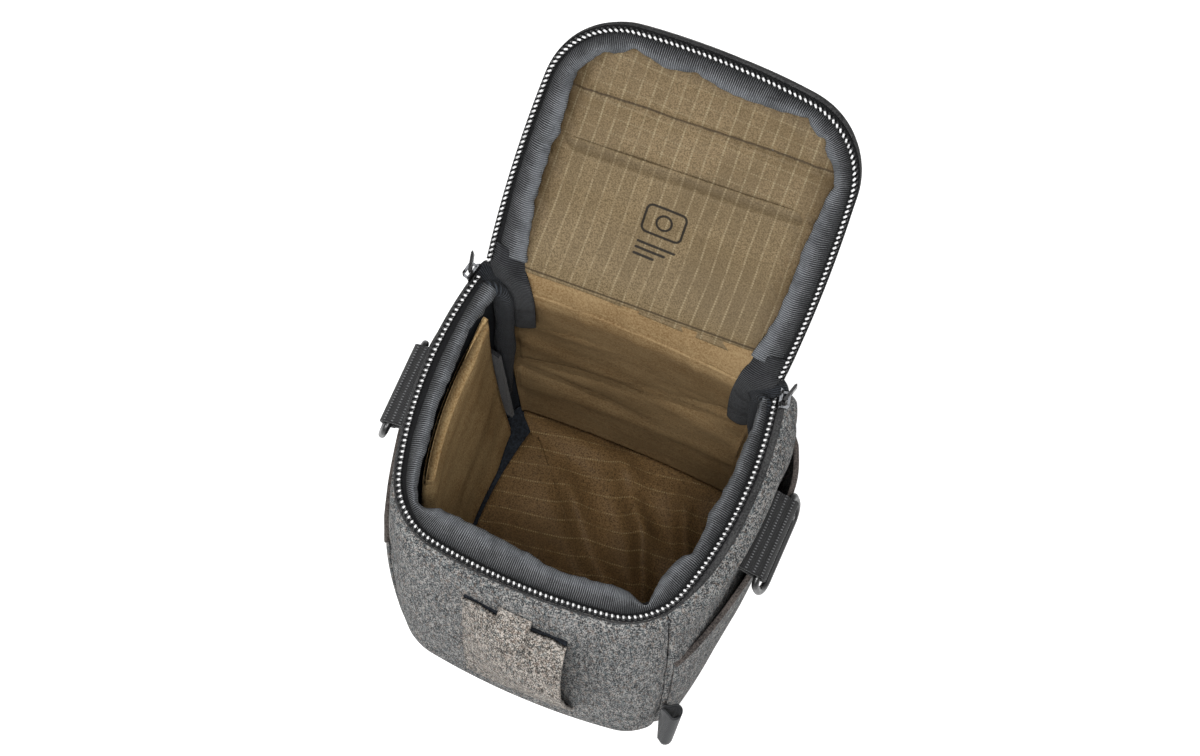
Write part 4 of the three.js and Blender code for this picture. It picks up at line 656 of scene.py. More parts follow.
M = {
    "shell": melange_knit("shell_melange", "252729", "474849", "656666", "93918e"),
    # a lighter copy of the walls' melange: painted light for the front band and its tab, which bulge up towards the
    # lamps
    "shell_painted_lit": melange_knit("band_melange_painted_lit", "2e2c2a", "595551", "7e7973", "b0a9a1", brown=0.42),
    "band": woven_cloth("edge_band_cloth", "1d1d1e", "3f3f3f", 0.667, 0.85, 0.0, 0.3, low=0.4, high=0.6),
    # the binding's colours include a painted highlight on its roll's crest and painted shade beside the teeth
    "binding": grosgrain_ribbon("binding_grosgrain", "161718", "3b3d40", "929497", crest_highlight="6e7277"),
    # a darker copy of the binding ribbon: painted shade for the lid ribbon's ends inside the rear corners
    "binding_end": grosgrain_ribbon("binding_end_grosgrain_shaded", "0c0c0e", "222325", "47494c"),
    "tape": woven_cloth("zip_tape_cloth", "060607", "161719", 0.455, 0.85, 0.0, 0.5),
    "coil": coil_nylon("coil_nylon"),
    "tan": ripstop("lining_ripstop", "78674d", "988c70", "524530", cross=0.34, seams=((*LID_SEAM, 0.6, 0.8),),
                   edge_shade=(42.0, 56.0, 94.0)),
    # the pocket's wide mouth band is painted shade below its hem, and its edge darkening is painted shade along its
    # sides
    "pocket": ripstop("pocket_ripstop", "76664c", "97896d", "51442f", cross=0.06, edge_shade=(43.0, 55.0, 500.0),
                      seams=((*POCKET_FOOT, 0.55, 0.8), (*POCKET_MOUTH, 3.0, 0.3)), motif=(-2.0, 36.0, "0b0a09")),
    "floor": ripstop("floor_ripstop", "785e3d", "a6926a", "473620", spacing=6.2, cross=0.55, along=0.05, tone=0.0,
                     cross_from=-70.0),
    "back": rear_lining_cloth("back_lining_cloth", "624b2f", "846f50", "998663"),
    "brushed": woven_cloth("divider_brushed", "816643", "b0976e", 0.769, 1.0, 0.0, 0.6, low=0.38, high=0.62,
                           specular=0.05),
    # a darker, bluer copy of the binding ribbon: painted shade for the rolls and caps in the rear corners
    "corner": grosgrain_ribbon("corner_grosgrain_shaded", "0a0b0d", "1d2024", "3a3e44"),
    "dark": woven_cloth("side_lining_cloth", "0b0d10", "252a31", 0.769, 0.95, 0.0, 0.5, low=0.38, high=0.64),
    "hem": woven_cloth("pocket_hem_cloth", "262322", "5b5450", 0.667, 0.9, 0.0, 0.5, low=0.4, high=0.6),
    "webbing": ladder_webbing("tab_webbing"),
    "loop": woven_cloth("belt_loop_webbing", "111112", "2c2d2f", 0.667, 0.8, 0.05, 0.6, ribs=1.3),
    "ring": smooth_black("ring_moulding", "040405", "0b0b0c", 0.34),
    "slider": slider_enamel("slider_enamel"),
    "pull": smooth_black("pull_enamel", "060607", "151517", 0.3),
    "ribbon": woven_cloth("tag_ribbon", "0c0d0e", "27292c", 0.556, 0.5, 0.1, 0.3, ribs=0.6),
    "hook": woven_cloth("hook_tape_cloth", "0e0e0f", "2a2a2c", 0.667, 0.95, 0.1, 0.8),
}

# ---------------------------------------------------------------- outer walls
BAND_FRONT, BAND_LEFT, BAND_RIGHT = 2.5, 2.8, 4.1
WALL_FOOT = 0.9


def band_outer(x, y):
    """Outer edge of the rim's edge band, outside the teeth."""
    side = np.where(x < 0, BAND_LEFT, BAND_RIGHT)
    return smooth(side, BAND_FRONT, (-y - 18) / 26)


def seam_dip(k, seams, depth=1.1, width=1.7):
    """Groove along a corner seam, which pulls the padding in."""
    total = np.zeros_like(k)
    for s in seams:
        per = run_length(s - 0.5, s + 0.5)
        d = (k - s) * per
        total += depth * np.exp(-(d / width) ** 2)
    return total


def outer_wall(name, k0, k1, columns, inner_out, *replaced):
    """Padded wall: its outer cloth, the roll over its top and the hidden inner face, as one closed form.

    On the rear wall the roll lies low, below the hinge cloth.
    """
    ks = np.linspace(k0, k1, columns)
    rows = np.concatenate([np.linspace(0, 0.12, 9), np.linspace(0.16, 0.9, 34), np.linspace(0.92, 1, 7)])
    behind = np.where(np.mod(ks, FULL) > FULL / 2, FULL - np.mod(ks, FULL), np.mod(ks, FULL))
    back_share = smooth(0, 1, (behind - 15) / 1.5)
    flare = flare_at(ks)
    x, y, _, _ = outline(RIM_ARCS, ks)
    band = band_outer(x, y)
    tucked = smooth(1, 0, (-y - 14) / 24)
    shoulder = on_rim_k(ks, flare, -smooth(5.0, 8.4, back_share))[:, 2]
    K, R = np.meshgrid(ks, rows, indexing="ij")
    Z = WALL_FOOT + (shoulder[:, None] - WALL_FOOT) * R
    dip = seam_dip(K, (k0, k1))
    per = run_length(k0, k1) / (k1 - k0)
    ends = np.exp(-(((K - k0) * per) / 4) ** 2) + np.exp(-(((k1 - K) * per) / 4) ** 2)
    pucker = 0.2 * np.sin(2 * np.pi * Z / 3.4) * ends
    soft = 0.35 * waves(Z + K * 9, 3, 90, 3) + 0.3 * waves(K * per + Z * 0.3, 8, 70, 3)
    out = -dip + pucker + soft * np.sin(np.pi * R) + 0.35 * np.sin(np.pi * np.clip((R - 0.8) / 0.2, 0, 1))
    # the right wall bulges below its rim, and again behind the rear of its pocket
    side = smooth(0, 1, (behind - 8.2) / 1.6) * smooth(1, 0, (behind - 15) / 0.9) * (np.mod(ks, FULL) < FULL / 2)
    out = out + side[:, None] * (3.4 * np.exp(-((Z - 150) / 10.5) ** 2) + 4.2 * smooth(0, 1, (K - 12.2) / 1.6)
                                 * np.exp(-((Z - 120) / 17) ** 2))
    outer = wall(K, Z, out)
    low = np.array([-4.3, -3.3, -2.45, -1.95, -1.8, -2.0, -3.0, -4.2])
    far = np.array([-4.6, -4.2, -3.9, -3.8, -3.9, -4.2, -4.8, -5.4])
    t, b = tucked[:, None], back_share[:, None]
    f, w, end = flare[:, None], band[:, None], flare[:, None] + inner_out + 0.3
    open_r = np.concatenate([f + 0.25, f + 0.1, f - 0.5, (f + w) / 2, w + 0.3, w - 0.5, -2.2 + 0 * f, end], 1)
    under_r = np.concatenate([f + 0.15, f - 0.15, f - 0.8, f - 1.8, f - 3, f - 4.2, -3.2 + 0 * f, end], 1)
    r = open_r * (1 - t) + under_r * t
    sunk = np.array([3.4, 3.4, 3.7, 4.6, 5.8, 7.6, 9.0, 10.2])
    h = (low[None, :] * (1 - t) + far[None, :] * t) - sunk[None, :] * b
    dip_top = 0.5 * seam_dip(ks, (k0, k1), 1.0, 1.6)[:, None]
    roll = on_rim_k(ks[:, None], r - dip_top * (r > w), h - dip_top)
    in_z = np.linspace(1, 0, 6)[None, :] * (shoulder[:, None] - 12 - 7 * b) + 9
    inner = wall(ks[:, None], in_z, inner_out)
    o = loft(name, np.concatenate([outer, roll, inner], 1))
    return dress(o, M["shell"], "pouch_body", *replaced, slot="shell_cloth")


for side, k0, k1, columns, inner_out in (("front", -SEAM + 0.03, SEAM - 0.03, 96, -9.8),
                                         ("right", SEAM + 0.03, REAR - 0.02, 84, -9.8),
                                         ("back", REAR + 0.02, FULL - REAR - 0.02, 60, -9.8),
                                         ("left", FULL - REAR + 0.02, FULL - SEAM - 0.03, 84, -7.4)):
    outer_wall(f"{side}_wall", k0, k1, columns, inner_out, f"{side}_panel", f"{side}_foam")


# ---------------------------------------------------------------- inner linings
LINING_FOOT = 8.6


def crease(U, V, u0, v0, angle, width, length, height, bend=0.0):
    """A soft pull or fold in a cloth, highest at its middle."""
    a = math.radians(angle)
    p = (U - u0) * math.cos(a) + (V - v0) * math.sin(a)
    q = -(U - u0) * math.sin(a) + (V - v0) * math.cos(a) - bend * p * p
    return height * np.exp(-(q / width) ** 2) * np.exp(-(p / length) ** 4)


def inner_wall(name, k0, k1, drop, material, slot, node, face, ripples, pulls):
    """Lining of one wall, from the floor to drop below the rim, rippled and creased where it is pulled."""
    ks = np.linspace(k0, k1, 60)
    rows = np.linspace(0, 1, 60)
    top = rim_top(ks) - drop
    K, R = np.meshgrid(ks, rows, indexing="ij")
    Z = LINING_FOOT + (top[:, None] - LINING_FOOT) * R
    per = run_length(k0, k1) / (k1 - k0)
    s = K * per
    middle = (k0 + k1) / 2 * per
    still = np.sin(np.pi * np.clip(R, 0.02, 0.98))
    fold = ripples * (waves(s + 0.35 * Z, 21, 46, 4) + 0.8 * waves(Z - 0.4 * s, 22, 52, 4)) * still
    for pull in pulls:
        fold = fold + crease(s - middle, Z, *pull) * still
    A = wall(K, Z, face + fold)
    B = wall(K, Z, face + 1.2 + 0 * fold)
    o = slab(name, A, B, np.stack([s, Z], -1))
    return dress(o, material, "pouch_body", node, slot=slot)


BACK_PULLS = ((-30, 118, -52, 2.0, 26, 1.6), (-20, 100, -48, 2.6, 34, -1.8, 0.004), (6, 78, -30, 5.0, 40, 2.2, 0.003),
              (-36, 80, -70, 2.6, 26, -1.5), (24, 118, -24, 4.0, 24, -1.2), (30, 58, 12, 4.5, 30, 1.6),
              (-8, 46, -8, 5, 40, -1.4))
for name, k0, k1, drop, mat, slot, node, face, ripples, pulls in (
    ("front_inner", -SEAM, SEAM, 13.0, "dark", "dark_lining", "front_lining", -11.3, 0.5, ()),
    ("right_inner", SEAM, REAR, 13.0, "dark", "dark_lining", "right_lining", -11.3, 0.5, ()),
    ("left_inner", FULL - REAR, FULL - SEAM, 13.0, "dark", "dark_lining", "left_lining", -9.0, 0.2, ()),
    ("back_inner", REAR, FULL - REAR, 7.5, "back", "tan_lining", "back_lining", -11.4, 0.55, BACK_PULLS),
):
    inner_wall(name, k0, k1, drop, M[mat], slot, node, face, ripples, pulls)


# ---------------------------------------------------------------- floor
FLOOR_LINES = math.radians(-11)  # turn of the floor cloth's woven lines
FLOOR_TOP, FLOOR_EDGE = 9.5, 9.0


def foot_disc(name, inset, heights_top, heights_bottom, rings=34, around=150):
    """Closed disc in the foot's outline, set in from the wall by inset, with its own top and bottom heights."""
    ks = np.linspace(0, FULL, around, endpoint=False)
    x, y, nx, ny = outline(FOOT_ARCS, ks)
    gap = inset(ks) if callable(inset) else inset
    ex, ey = x - nx * gap, y - ny * gap
    shares = np.linspace(1, 1 / rings, rings)
    X, Y = shares[:, None] * ex[None, :], shares[:, None] * ey[None, :]
    S = shares[:, None] * np.ones_like(X)
    top = np.stack([X, Y, heights_top(X, Y, S)], -1)
    low = np.stack([X, Y, heights_bottom(X, Y, S)], -1)
    mid = np.zeros(1)
    verts = np.concatenate([top.reshape(-1, 3), low.reshape(-1, 3),
                            [[0, 0, float(heights_top(mid, mid, mid)[0])],
                             [0, 0, float(heights_bottom(mid, mid, mid)[0])]]])
    size = rings * around
    faces = [*map(tuple, grid_faces(rings, around, wrap_m=True)),
             *map(tuple, grid_faces(rings, around, size, wrap_m=True)[:, ::-1])]
    last = (rings - 1) * around
    for j in range(around):
        k = (j + 1) % around
        faces.append((last + j, last + k, 2 * size))
        faces.append((size + last + k, size + last + j, 2 * size + 1))
        faces.append((k, j, size + j, size + k))
    c, s = math.cos(FLOOR_LINES), math.sin(FLOOR_LINES)
    uv = np.stack([verts[:, 0] * c - verts[:, 1] * s, verts[:, 0] * s + verts[:, 1] * c], -1)
    return make_mesh(name, verts, faces, uv)


FLOOR_FOLDS = ((10, 30, -50, 4.2, 26, 4.6, 0.006), (24, 8, -62, 3.6, 26, 4.4, -0.004), (0, 6, -46, 5.0, 34, 3.4, 0.004),
               (36, 24, -66, 3.4, 20, 3.8), (-18, 24, -34, 6.0, 26, 2.6), (10, -22, -36, 5.4, 30, 2.8),
               (-26, -12, -60, 6.0, 24, 2.0), (30, -20, -50, 4.6, 20, 2.6), (-10, 42, -10, 5.0, 26, 2.6))


def floor_top(X, Y, S):
    """The loose floor cloth's folds, pressed flat at its edge."""
    z = FLOOR_TOP + 0.35 * waves(X + 0.5 * Y, 5, 60, 4) + 0.3 * waves(Y - 0.4 * X, 6, 48, 4)
    for fold in FLOOR_FOLDS:
        z = z + 1.35 * crease(X, Y, *fold)
    return np.where(S > 0.93, FLOOR_EDGE + (z - FLOOR_EDGE) * (1 - S) / 0.07, z)


def floor_gap(k):
    """The floor cloth ends short of the left wall, beside the divider's foot."""
    return smooth(19.0, 10.7, (np.abs(k - LEFT_MIDDLE) - 2.6) / 2.6)


floor_cloth = foot_disc("floor_cloth", floor_gap, floor_top, lambda X, Y, S: floor_top(X, Y, S) - 0.7)
dress(floor_cloth, M["floor"], "pouch_body", "floor_lining", slot="tan_lining")
base_pad = foot_disc("base_pad", 3.0, lambda X, Y, S: 8.1 + 0 * X,
                     lambda X, Y, S: np.where(S > 0.97, 0.7, 0.0) + 0 * X, rings=14)
dress(base_pad, M["shell"], "pouch_body", "floor_panel", "floor_foam", slot="shell_cloth")
# painted shade: the pad's top gets the dark lining cloth, for the shaded strip beside the divider's foot
base_pad.data.materials.append(M["dark"])  # the pad's top, seen beside the divider's foot
for face in base_pad.data.polygons:
    face.material_index = int(face.center.z > 0.0075)

# ---------------------------------------------------------------- rim and lid trim
TAPE_TOP = -1.55
TAPE_OUTER, TAPE_INNER, TAPE_THICK = 1.3, -5.2, 0.6
TOOTH_PITCH, WIRE = 2.12, 0.48  # the wire's size is its radius
TOOTH_HALF_WIDTH, TOOTH_HALF_HEIGHT = 1.25, 1.08
RIM_STOP, LID_STOP = 46.0, -1.5  # where the two zip halves end beside the hinge


def tape_strip(name, P, N, place, body, node):
    """Zip tape under the teeth, with a slight ripple."""
    r = np.linspace(TAPE_OUTER, TAPE_INNER, 9)[None, :] * np.ones((len(P), 1))
    h = TAPE_TOP - 0.2 * (TAPE_OUTER - r) + 0.12 * np.sin(np.linspace(0, len(P) / 7, len(P)))[:, None]
    A, B = place(P, N, r, h), place(P, N, r, h - TAPE_THICK)
    return dress(slab(name, A, B, uv_grid(A)), M["tape"], body, node, slot="tape_cloth")


def coil(name, spec, stop, place, body, node, lean=0.6):
    """One turn of round nylon wire per tooth, leaning along the row; UV holds the turn's angle."""
    _, _, s = open_path(spec, stop, 2)
    per = 14
    count = int(s[-1] / TOOTH_PITCH) * per + 1
    P, N, s = open_path(spec, stop, count)
    phi = 2 * np.pi * np.arange(count) / per
    T = unit(np.gradient(P, axis=0))
    R, H = TOOTH_HALF_WIDTH - WIRE, TOOTH_HALF_HEIGHT - WIRE
    P2 = P + T * (lean * np.cos(phi))[:, None]
    centre = place(P2, N, (R * np.cos(phi))[:, None], (H * np.sin(phi))[:, None])[:, 0]
    t = unit(np.gradient(centre, axis=0))
    ref = place(P2, N, (R * np.cos(phi) * 2)[:, None], (H * np.sin(phi) * 2)[:, None])[:, 0] - centre
    a = unit(ref - t * (ref * t).sum(1, keepdims=True))
    b = np.cross(t, a)
    ang = np.linspace(0, 2 * np.pi, 7, endpoint=False)
    ring = centre[:, None] + WIRE * (a[:, None] * np.cos(ang)[None, :, None] + b[:, None] * np.sin(ang)[None, :, None])
    facing = np.cos(ang)[None, :] * np.ones((count, 1))
    uv = np.stack([(np.sin(phi) * 0.5 + 0.5)[:, None] * np.ones((1, 7)), facing * 0.5 + 0.5], -1)
    return dress(loft(name, ring, uv), M["coil"], body, node, slot="coil_nylon")


def edge_band(name, P, N, place, body, node, outer, hem):
    """Smooth edging: rises from under the teeth, rolls over and ends in a hem on the wall."""
    c = np.zeros((len(P), 6, 2))
    inner = 1.45
    wide = outer - inner
    for i, (r, h) in enumerate([(inner, TAPE_TOP - 0.75), (inner + 0.12, TAPE_TOP - 0.12),
                                (inner + 0.5 * wide, TAPE_TOP + 0.05 - 0.08 * wide),
                                (outer - 0.22, TAPE_TOP - 0.45 - 0.12 * wide),
                                (outer, (TAPE_TOP + hem) / 2 - 0.3), (outer - 0.03, hem)]):
        c[:, i, 0], c[:, i, 1] = r, h
    g = curve(c, 16)
    A = place(P, N, g[..., 0], g[..., 1])
    inside = g.copy()
    inside[..., 0] -= 0.5 * np.linspace(0.1, 1, 16)[None, :]
    inside[..., 1] -= 0.6 * np.linspace(1, 0.1, 16)[None, :]
    o = slab(name, A, place(P, N, inside[..., 0], inside[..., 1]), uv_grid(A))
    return dress(o, M["band"], body, node, slot="band_cloth")


def profile(s, knots):
    """Smooth curve through (distance, value) knots."""
    at, value = np.array(knots, float).T
    fine = np.arange(at[0], at[-1] + 0.5, 0.5)
    y = np.interp(fine, at, value)
    kernel = np.exp(-np.linspace(-2, 2, 11) ** 2)
    y = np.convolve(np.pad(y, 5, mode="edge"), kernel / kernel.sum(), "valid")
    return np.interp(s, fine, y)


def binding(name, P, N, s, place, body, node, start, full, hang, seed, crest, pinches):
    """Ribbed ribbon rolled over the padded edge, pushed inwards in loose waves."""
    w1, w2, w3 = waves(s, seed, 26, 4), waves(s, seed + 1, 13, 4), waves(s, seed + 2, 19, 3)
    pinch = np.zeros_like(s)
    for at, depth, width in pinches:
        pinch = pinch + depth * np.exp(-((s - at) / width) ** 2)
    full = full + 0.22 * w2
    width = full - start
    top = TAPE_TOP - 0.2 * (TAPE_OUTER + start)
    rise = crest + 0.28 * w1 - pinch
    fall = hang + rise
    c = np.zeros((len(P), 9, 2))
    pts = [(-(start - 0.5), top - 0.9), (-start, top + 0.1), (-(start + 0.2 * width), top + (rise - top) * 0.55),
           (-(start + 0.45 * width), top + (rise - top) * 0.92 + 0.15 * w3), (-(start + 0.7 * width), rise + 0.1 * w2),
           (-(full - 0.75), rise - 0.10 * fall), (-full, rise - 0.28 * fall),
           (-(full - 0.7 + 0.5 * w3), rise - 0.62 * fall), (-(full - 1.8), -hang)]
    for i, (r, h) in enumerate(pts):
        c[:, i, 0], c[:, i, 1] = r, h
    g = curve(c, 34)
    across = np.linspace(0, 1, 34)[None, :]
    ruck = 0.22 * waves(s[:, None] + 9 * across, seed + 3, 9, 3) * np.sin(np.pi * across)
    g[..., 1] += ruck
    A = place(P, N, g[..., 0], g[..., 1])
    Nrm = normals_of(A)
    up = place(P, N, g[..., 0], g[..., 1] + 1.0) - A
    sign = np.sign((Nrm * up).sum(2).mean())
    B = A - sign * Nrm * 0.8
    o = slab(name, A, B, np.stack(np.meshgrid(s, np.linspace(0, RIBBON_WIDTH, 34), indexing="ij"), -1))
    return dress(o, M["binding"], body, node, slot="binding_cloth")


# Reach of each ribbon's free edge inside the teeth, by distance along the zip from the rear left, and its pinches.
RIM_EDGE = ((0, 8.6), (5, 9.0), (16, 7.6), (26, 8.4), (40, 9.2), (50, 8.3), (66, 8.6), (78, 7.4), (88, 6.6), (94, 5.4),
            (98, 8.0), (103, 11.8), (117, 13.2), (130, 13.6), (146, 12.8), (153, 11.3), (160, 10.9), (171, 11.5),
            (184, 11.6), (190, 9.8), (195, 5.6), (197.5, 4.2), (201, 7.0), (207, 9.8), (216, 10.3), (221, 9.7),
            (226, 7.0), (235, 7.2), (243, 9.2), (251, 8.2), (264, 7.4), (272, 7.5), (279, 6.3), (290, 5.6), (300, 5.6))
LID_EDGE = ((0, 13.6), (9, 12.2), (17, 11.6), (26, 10.4), (41, 10.4), (48, 10.0), (54, 11.2), (66, 10.0), (77, 9.0),
            (84, 8.2), (91, 8.8), (99, 7.4), (105, 8.6), (110, 8.0), (115.5, 6.0), (121, 7.6), (127, 9.6), (135, 8.9),
            (140, 7.4), (145, 8.9), (157, 10.2), (169, 9.0), (178, 7.4), (185, 5.6), (190, 8.0), (195, 8.1), (198, 6.4),
            (203, 8.9), (215, 7.4), (222, 7.0), (229, 8.5), (240, 9.5), (249, 10.5), (262, 10.1), (280, 10.3),
            (290, 11.8), (300, 13.4))
RIM_START = ((0, 2.0), (12, 2.4), (24, 2.8), (50, 2.8), (66, 2.3), (84, 2.5), (94, 2.4), (104, 1.9), (200, 1.9),
             (300, 2.0))
RIM_PINCHES = ((96.5, 2.0, 2.4), (197.5, 1.6, 2.6), (226.5, 1.2, 2.0), (171, 0.4, 5), (279, 0.7, 3))
LID_PINCHES = ((91, 0.9, 1.6), (115.5, 0.9, 2.2), (140, 0.6, 2.5), (185.5, 1.5, 1.6), (197.5, 1.1, 1.5), (48, 0.6, 2),
               (222, 0.7, 2.5))

P, N, s = open_path(RIM, RIM_STOP, 320)
tape_strip("rim_tape", P, N, on_rim, "pouch_body", "rim_zip_tape")
outer = band_outer(P[:, 0], P[:, 1])
hem = smooth(-4.3, -2.5, (-P[:, 1] - 14) / 24)
edge_band("rim_edging", P, N, on_rim, "pouch_body", "rim_edge_band", outer, hem)
coil("rim_coil", RIM, RIM_STOP, on_rim, "pouch_body", "rim_zip_teeth")
P, N, s = open_path(RIM, 45.4, 760)
rim_hang = ((0, 12.0), (14, 10.0), (24, 9.0), (84, 9.0), (96, 11.0), (106, 14.4), (300, 14.4))
ribbon = binding("rim_ribbon", P, N, s, on_rim, "pouch_body", "rim_binding", profile(s, RIM_START),
                 profile(s, RIM_EDGE), profile(s, rim_hang), 41, 0.8, RIM_PINCHES)

P, N, s = open_path(LID, LID_STOP, 320)
tape_strip("lid_tape", P, N, on_lid, "lid", "lid_zip_tape")
top_share = smooth(0, 1, (-P[:, 1] - 88) / 18)
lid_outer = 1.5 + 1.0 * top_share * smooth(0.1, 1.0, (P[:, 0] + 30) / 60) + 0.35 * smooth(0, 1, (-P[:, 1] - 70) / 20)
edge_band("lid_edging", P, N, on_lid, "lid", "lid_edge_band", lid_outer, -4.0 + 0 * s)
coil("lid_coil", LID, LID_STOP, on_lid, "lid", "lid_zip_teeth", lean=-0.6)
P, N, s = open_path(LID, -5.4, 760)
hang = smooth(3.4, 5.0, (-P[:, 1] - 6) / 16)
lid_ribbon = binding("lid_ribbon", P, N, s, on_lid, "lid", "lid_binding", smooth(2.2, 1.7, (-P[:, 1] - 10) / 30),
                     profile(s, LID_EDGE) + 0.4, hang, 57, 1.3, LID_PINCHES)


def corner_cap(name, k0, k1):
    """Edging over a rear corner's top, in the darker copy of the ribbon that paints the corner's shade, pressed in
    where the lid's end comes down on it.
    """
    ks = np.linspace(k0, k1, 46)
    f = flare_at(ks)[:, None]
    r = f + np.array([-13.5, -10.5, -6.0, -2.6, -0.7, 0.35, 0.75, 0.7])[None, :]
    h = np.array([-7.5, -4.2, -2.7, -2.5, -2.9, -4.2, -6.6, -9.4])[None, :] + 0.25 * waves(ks * 9, 63, 12, 3)[:, None]
    g = curve(np.stack(np.broadcast_arrays(r, h), -1), 26)
    plan = on_rim_k(ks[:, None], g[..., 0], g[..., 1])
    pressed = 3.3 * smooth(0, 1, (plan[..., 1] - 51.0) / 3.0) * smooth(0, 1, (62.0 - np.abs(plan[..., 0])) / 2.4)
    A = on_rim_k(ks[:, None], g[..., 0], g[..., 1] - pressed)
    B = on_rim_k(ks[:, None], g[..., 0] - 0.35, g[..., 1] - pressed - 0.7)
    return dress(slab(name, A, B, uv_grid(A)), M["corner"], "pouch_body", slot="band_cloth")


corner_cap("right_corner_cap", 14.6, 17.2)
corner_cap("left_corner_cap", FULL - 17.2, FULL - 14.6)

# ---------------------------------------------------------------- lid shell and lining
LID_MIDDLE = np.array([0.0, 56.0])
LID_SIDE_TOP = -4.2  # where the lid's side begins below the teeth


def ramp(u):
    """0 beside the hinge, where the lid is thin, to 1 where its padding is full."""
    return smooth(0, 1, (u - 9) / 21)


def lid_lining_top(u):
    """Height of the lid's lining at distance u from the hinge."""
    return -2.45 - 4.35 * ramp(u)


def lid_foam_top(u):
    """Height of the padding under the lining."""
    return -4.3 - 4.5 * ramp(u)


def lid_panel(u, share):
    """Height of the lid's outer cloth, crowned towards its middle, where share is 0."""
    return lid_foam_top(u) - (0.6 + 2.4 * ramp(u)) - 0.3 - 3 * (1 - share * share) * ramp(u)


def lid_side(u, depth):
    """How far the lid's side lies outside the teeth: little beside the hinge, more round the far end."""
    near_end = smooth(1.2, 2.0, (u - 66) / 30)
    return near_end - 0.5 * np.maximum(-4.4 - depth, 0) * smooth(0.3, 1, (u - 66) / 30)


def lid_loop(reach, n=170, back_n=56):
    """The lid's outline, moved out by reach and closed along the hinge."""
    P, N, _ = open_path(LID, -3.0, n)
    q = P + N * np.reshape(reach(-P[:, 1]) if callable(reach) else reach, (-1, 1))
    loop = np.stack([q[:, 0], -q[:, 1]], -1)
    t = np.linspace(0, 1, back_n + 2)[1:-1, None]
    return np.concatenate([loop, loop[-1] * (1 - t) + loop[0] * t])


def closed_rings(name, sections, uvs=None):
    """Closed form through rings of one count, capped at both ends."""
    n, m = sections.shape[:2]
    faces = [*map(tuple, grid_faces(n, m, wrap_m=True))]
    verts = np.concatenate([sections.reshape(-1, 3), [sections[0].mean(0), sections[-1].mean(0)]])
    size = n * m
    for j in range(m):
        k = (j + 1) % m
        faces.append((k, j, size))
        faces.append(((n - 1) * m + j, (n - 1) * m + k, size + 1))
    if uvs is not None:
        uvs = np.concatenate([uvs.reshape(-1, 2), [LID_MIDDLE, LID_MIDDLE]])
    return make_mesh(name, verts, faces, uvs)


def lid_ring(loop, share, height):
    """The outline shrunk to a share of its size, at a given height."""
    q = LID_MIDDLE + (loop - LID_MIDDLE) * share
    return lid_body(q[:, 0], q[:, 1], height(q[:, 1], share))


def lid_wall_ring(t):
    """Ring on the lid's side, from its lining side (0) to its outer edge (1)."""
    depth = lambda u: LID_SIDE_TOP + (lid_panel(u, 1.0) - 1.0 - LID_SIDE_TOP) * t
    loop = lid_loop(lambda u: lid_side(u, depth(u)) + 0.4 * math.sin(math.pi * t))
    return lid_body(loop[:, 0], loop[:, 1], depth(loop[:, 1]))


rows = [lid_ring(lid_loop(0.9), t, lambda u, sh: lid_foam_top(u)) for t in (0.25, 0.6, 0.85, 0.96, 1.0)]
rows += [lid_wall_ring(t) for t in np.linspace(0.0, 1.0, 11)]
under = lid_loop(lambda u: lid_side(u, lid_panel(u, 1.0) - 1.0) - 0.6)
for t in (0.995, 0.97, 0.93, 0.86, 0.76, 0.64, 0.5, 0.36, 0.22, 0.1):
    rows.append(lid_ring(under, t, lambda u, sh: lid_panel(u, sh) - 1.2 - 0.3 * smooth(0, 1, (0.995 - sh) * 30)
                         + 0.25 * waves(u, 9, 60, 3)))
lid_shell = closed_rings("lid_shell", np.stack(rows))
dress(lid_shell, M["shell"], "lid", "lid_top_panel", "lid_side_band", "lid_foam", slot="shell_cloth")


def lid_half(u):
    """Half the lid's width at distance u from the hinge."""
    return LID["half_width"] - LID["side_radius"] + np.sqrt(LID["side_radius"] ** 2 - (u + LID["side_y"]) ** 2)


def lining_height(x, u, share):
    """The lid lining's height: tucked in at its edge, grooved along its seam, softly waved between."""
    edge = np.clip((1 - share) / 0.2, 0, 1)
    seam = LID_SEAM[0] + LID_SEAM[1] * x
    groove = -1.5 * np.exp(-((u - seam) / 0.75) ** 2) + 0.8 * np.exp(-((u - seam + 2.0) / 1.4) ** 2)
    pucker = 0.15 * np.sin(x / 1.1) * np.exp(-((u - seam) / 3.0) ** 2)
    soft = 0.5 * waves(x + 0.2 * u, 31, 60, 4) + 0.4 * waves(u - 0.3 * x, 32, 44, 4)
    tuck = -1.3 * (1 - edge) ** 2 + 0.7 * np.exp(-((1 - share - 0.17) / 0.07) ** 2)
    rim_ripple = 0.45 * waves(x * 0.9 + u, 33, 17, 3) * np.exp(-((1 - share) / 0.2) ** 2)
    inside = np.clip((1 - share) * 5, 0, 1)
    return lid_lining_top(u) + (tuck + rim_ripple + groove * inside + pucker * inside + soft * inside) * ramp(u)


lining_loop = lid_loop(-5.0, n=190, back_n=64)
top_rows, low_rows, uv_rows = [], [], []
for sh in np.concatenate([[1.0, 0.985, 0.965, 0.945, 0.925], np.linspace(0.905, 0.04, 46)]):
    q = LID_MIDDLE + (lining_loop - LID_MIDDLE) * sh
    h = lining_height(q[:, 0], q[:, 1], sh)
    top_rows.append(lid_body(q[:, 0], q[:, 1], h))
    low_rows.append(lid_body(q[:, 0], q[:, 1], h - 0.7))
    uv_rows.append(q)
lid_inner = closed_rings("lid_inner", np.stack(top_rows[::-1] + low_rows), np.stack(uv_rows[::-1] + uv_rows))
dress(lid_inner, M["tan"], "lid", "lid_lining", slot="tan_lining")

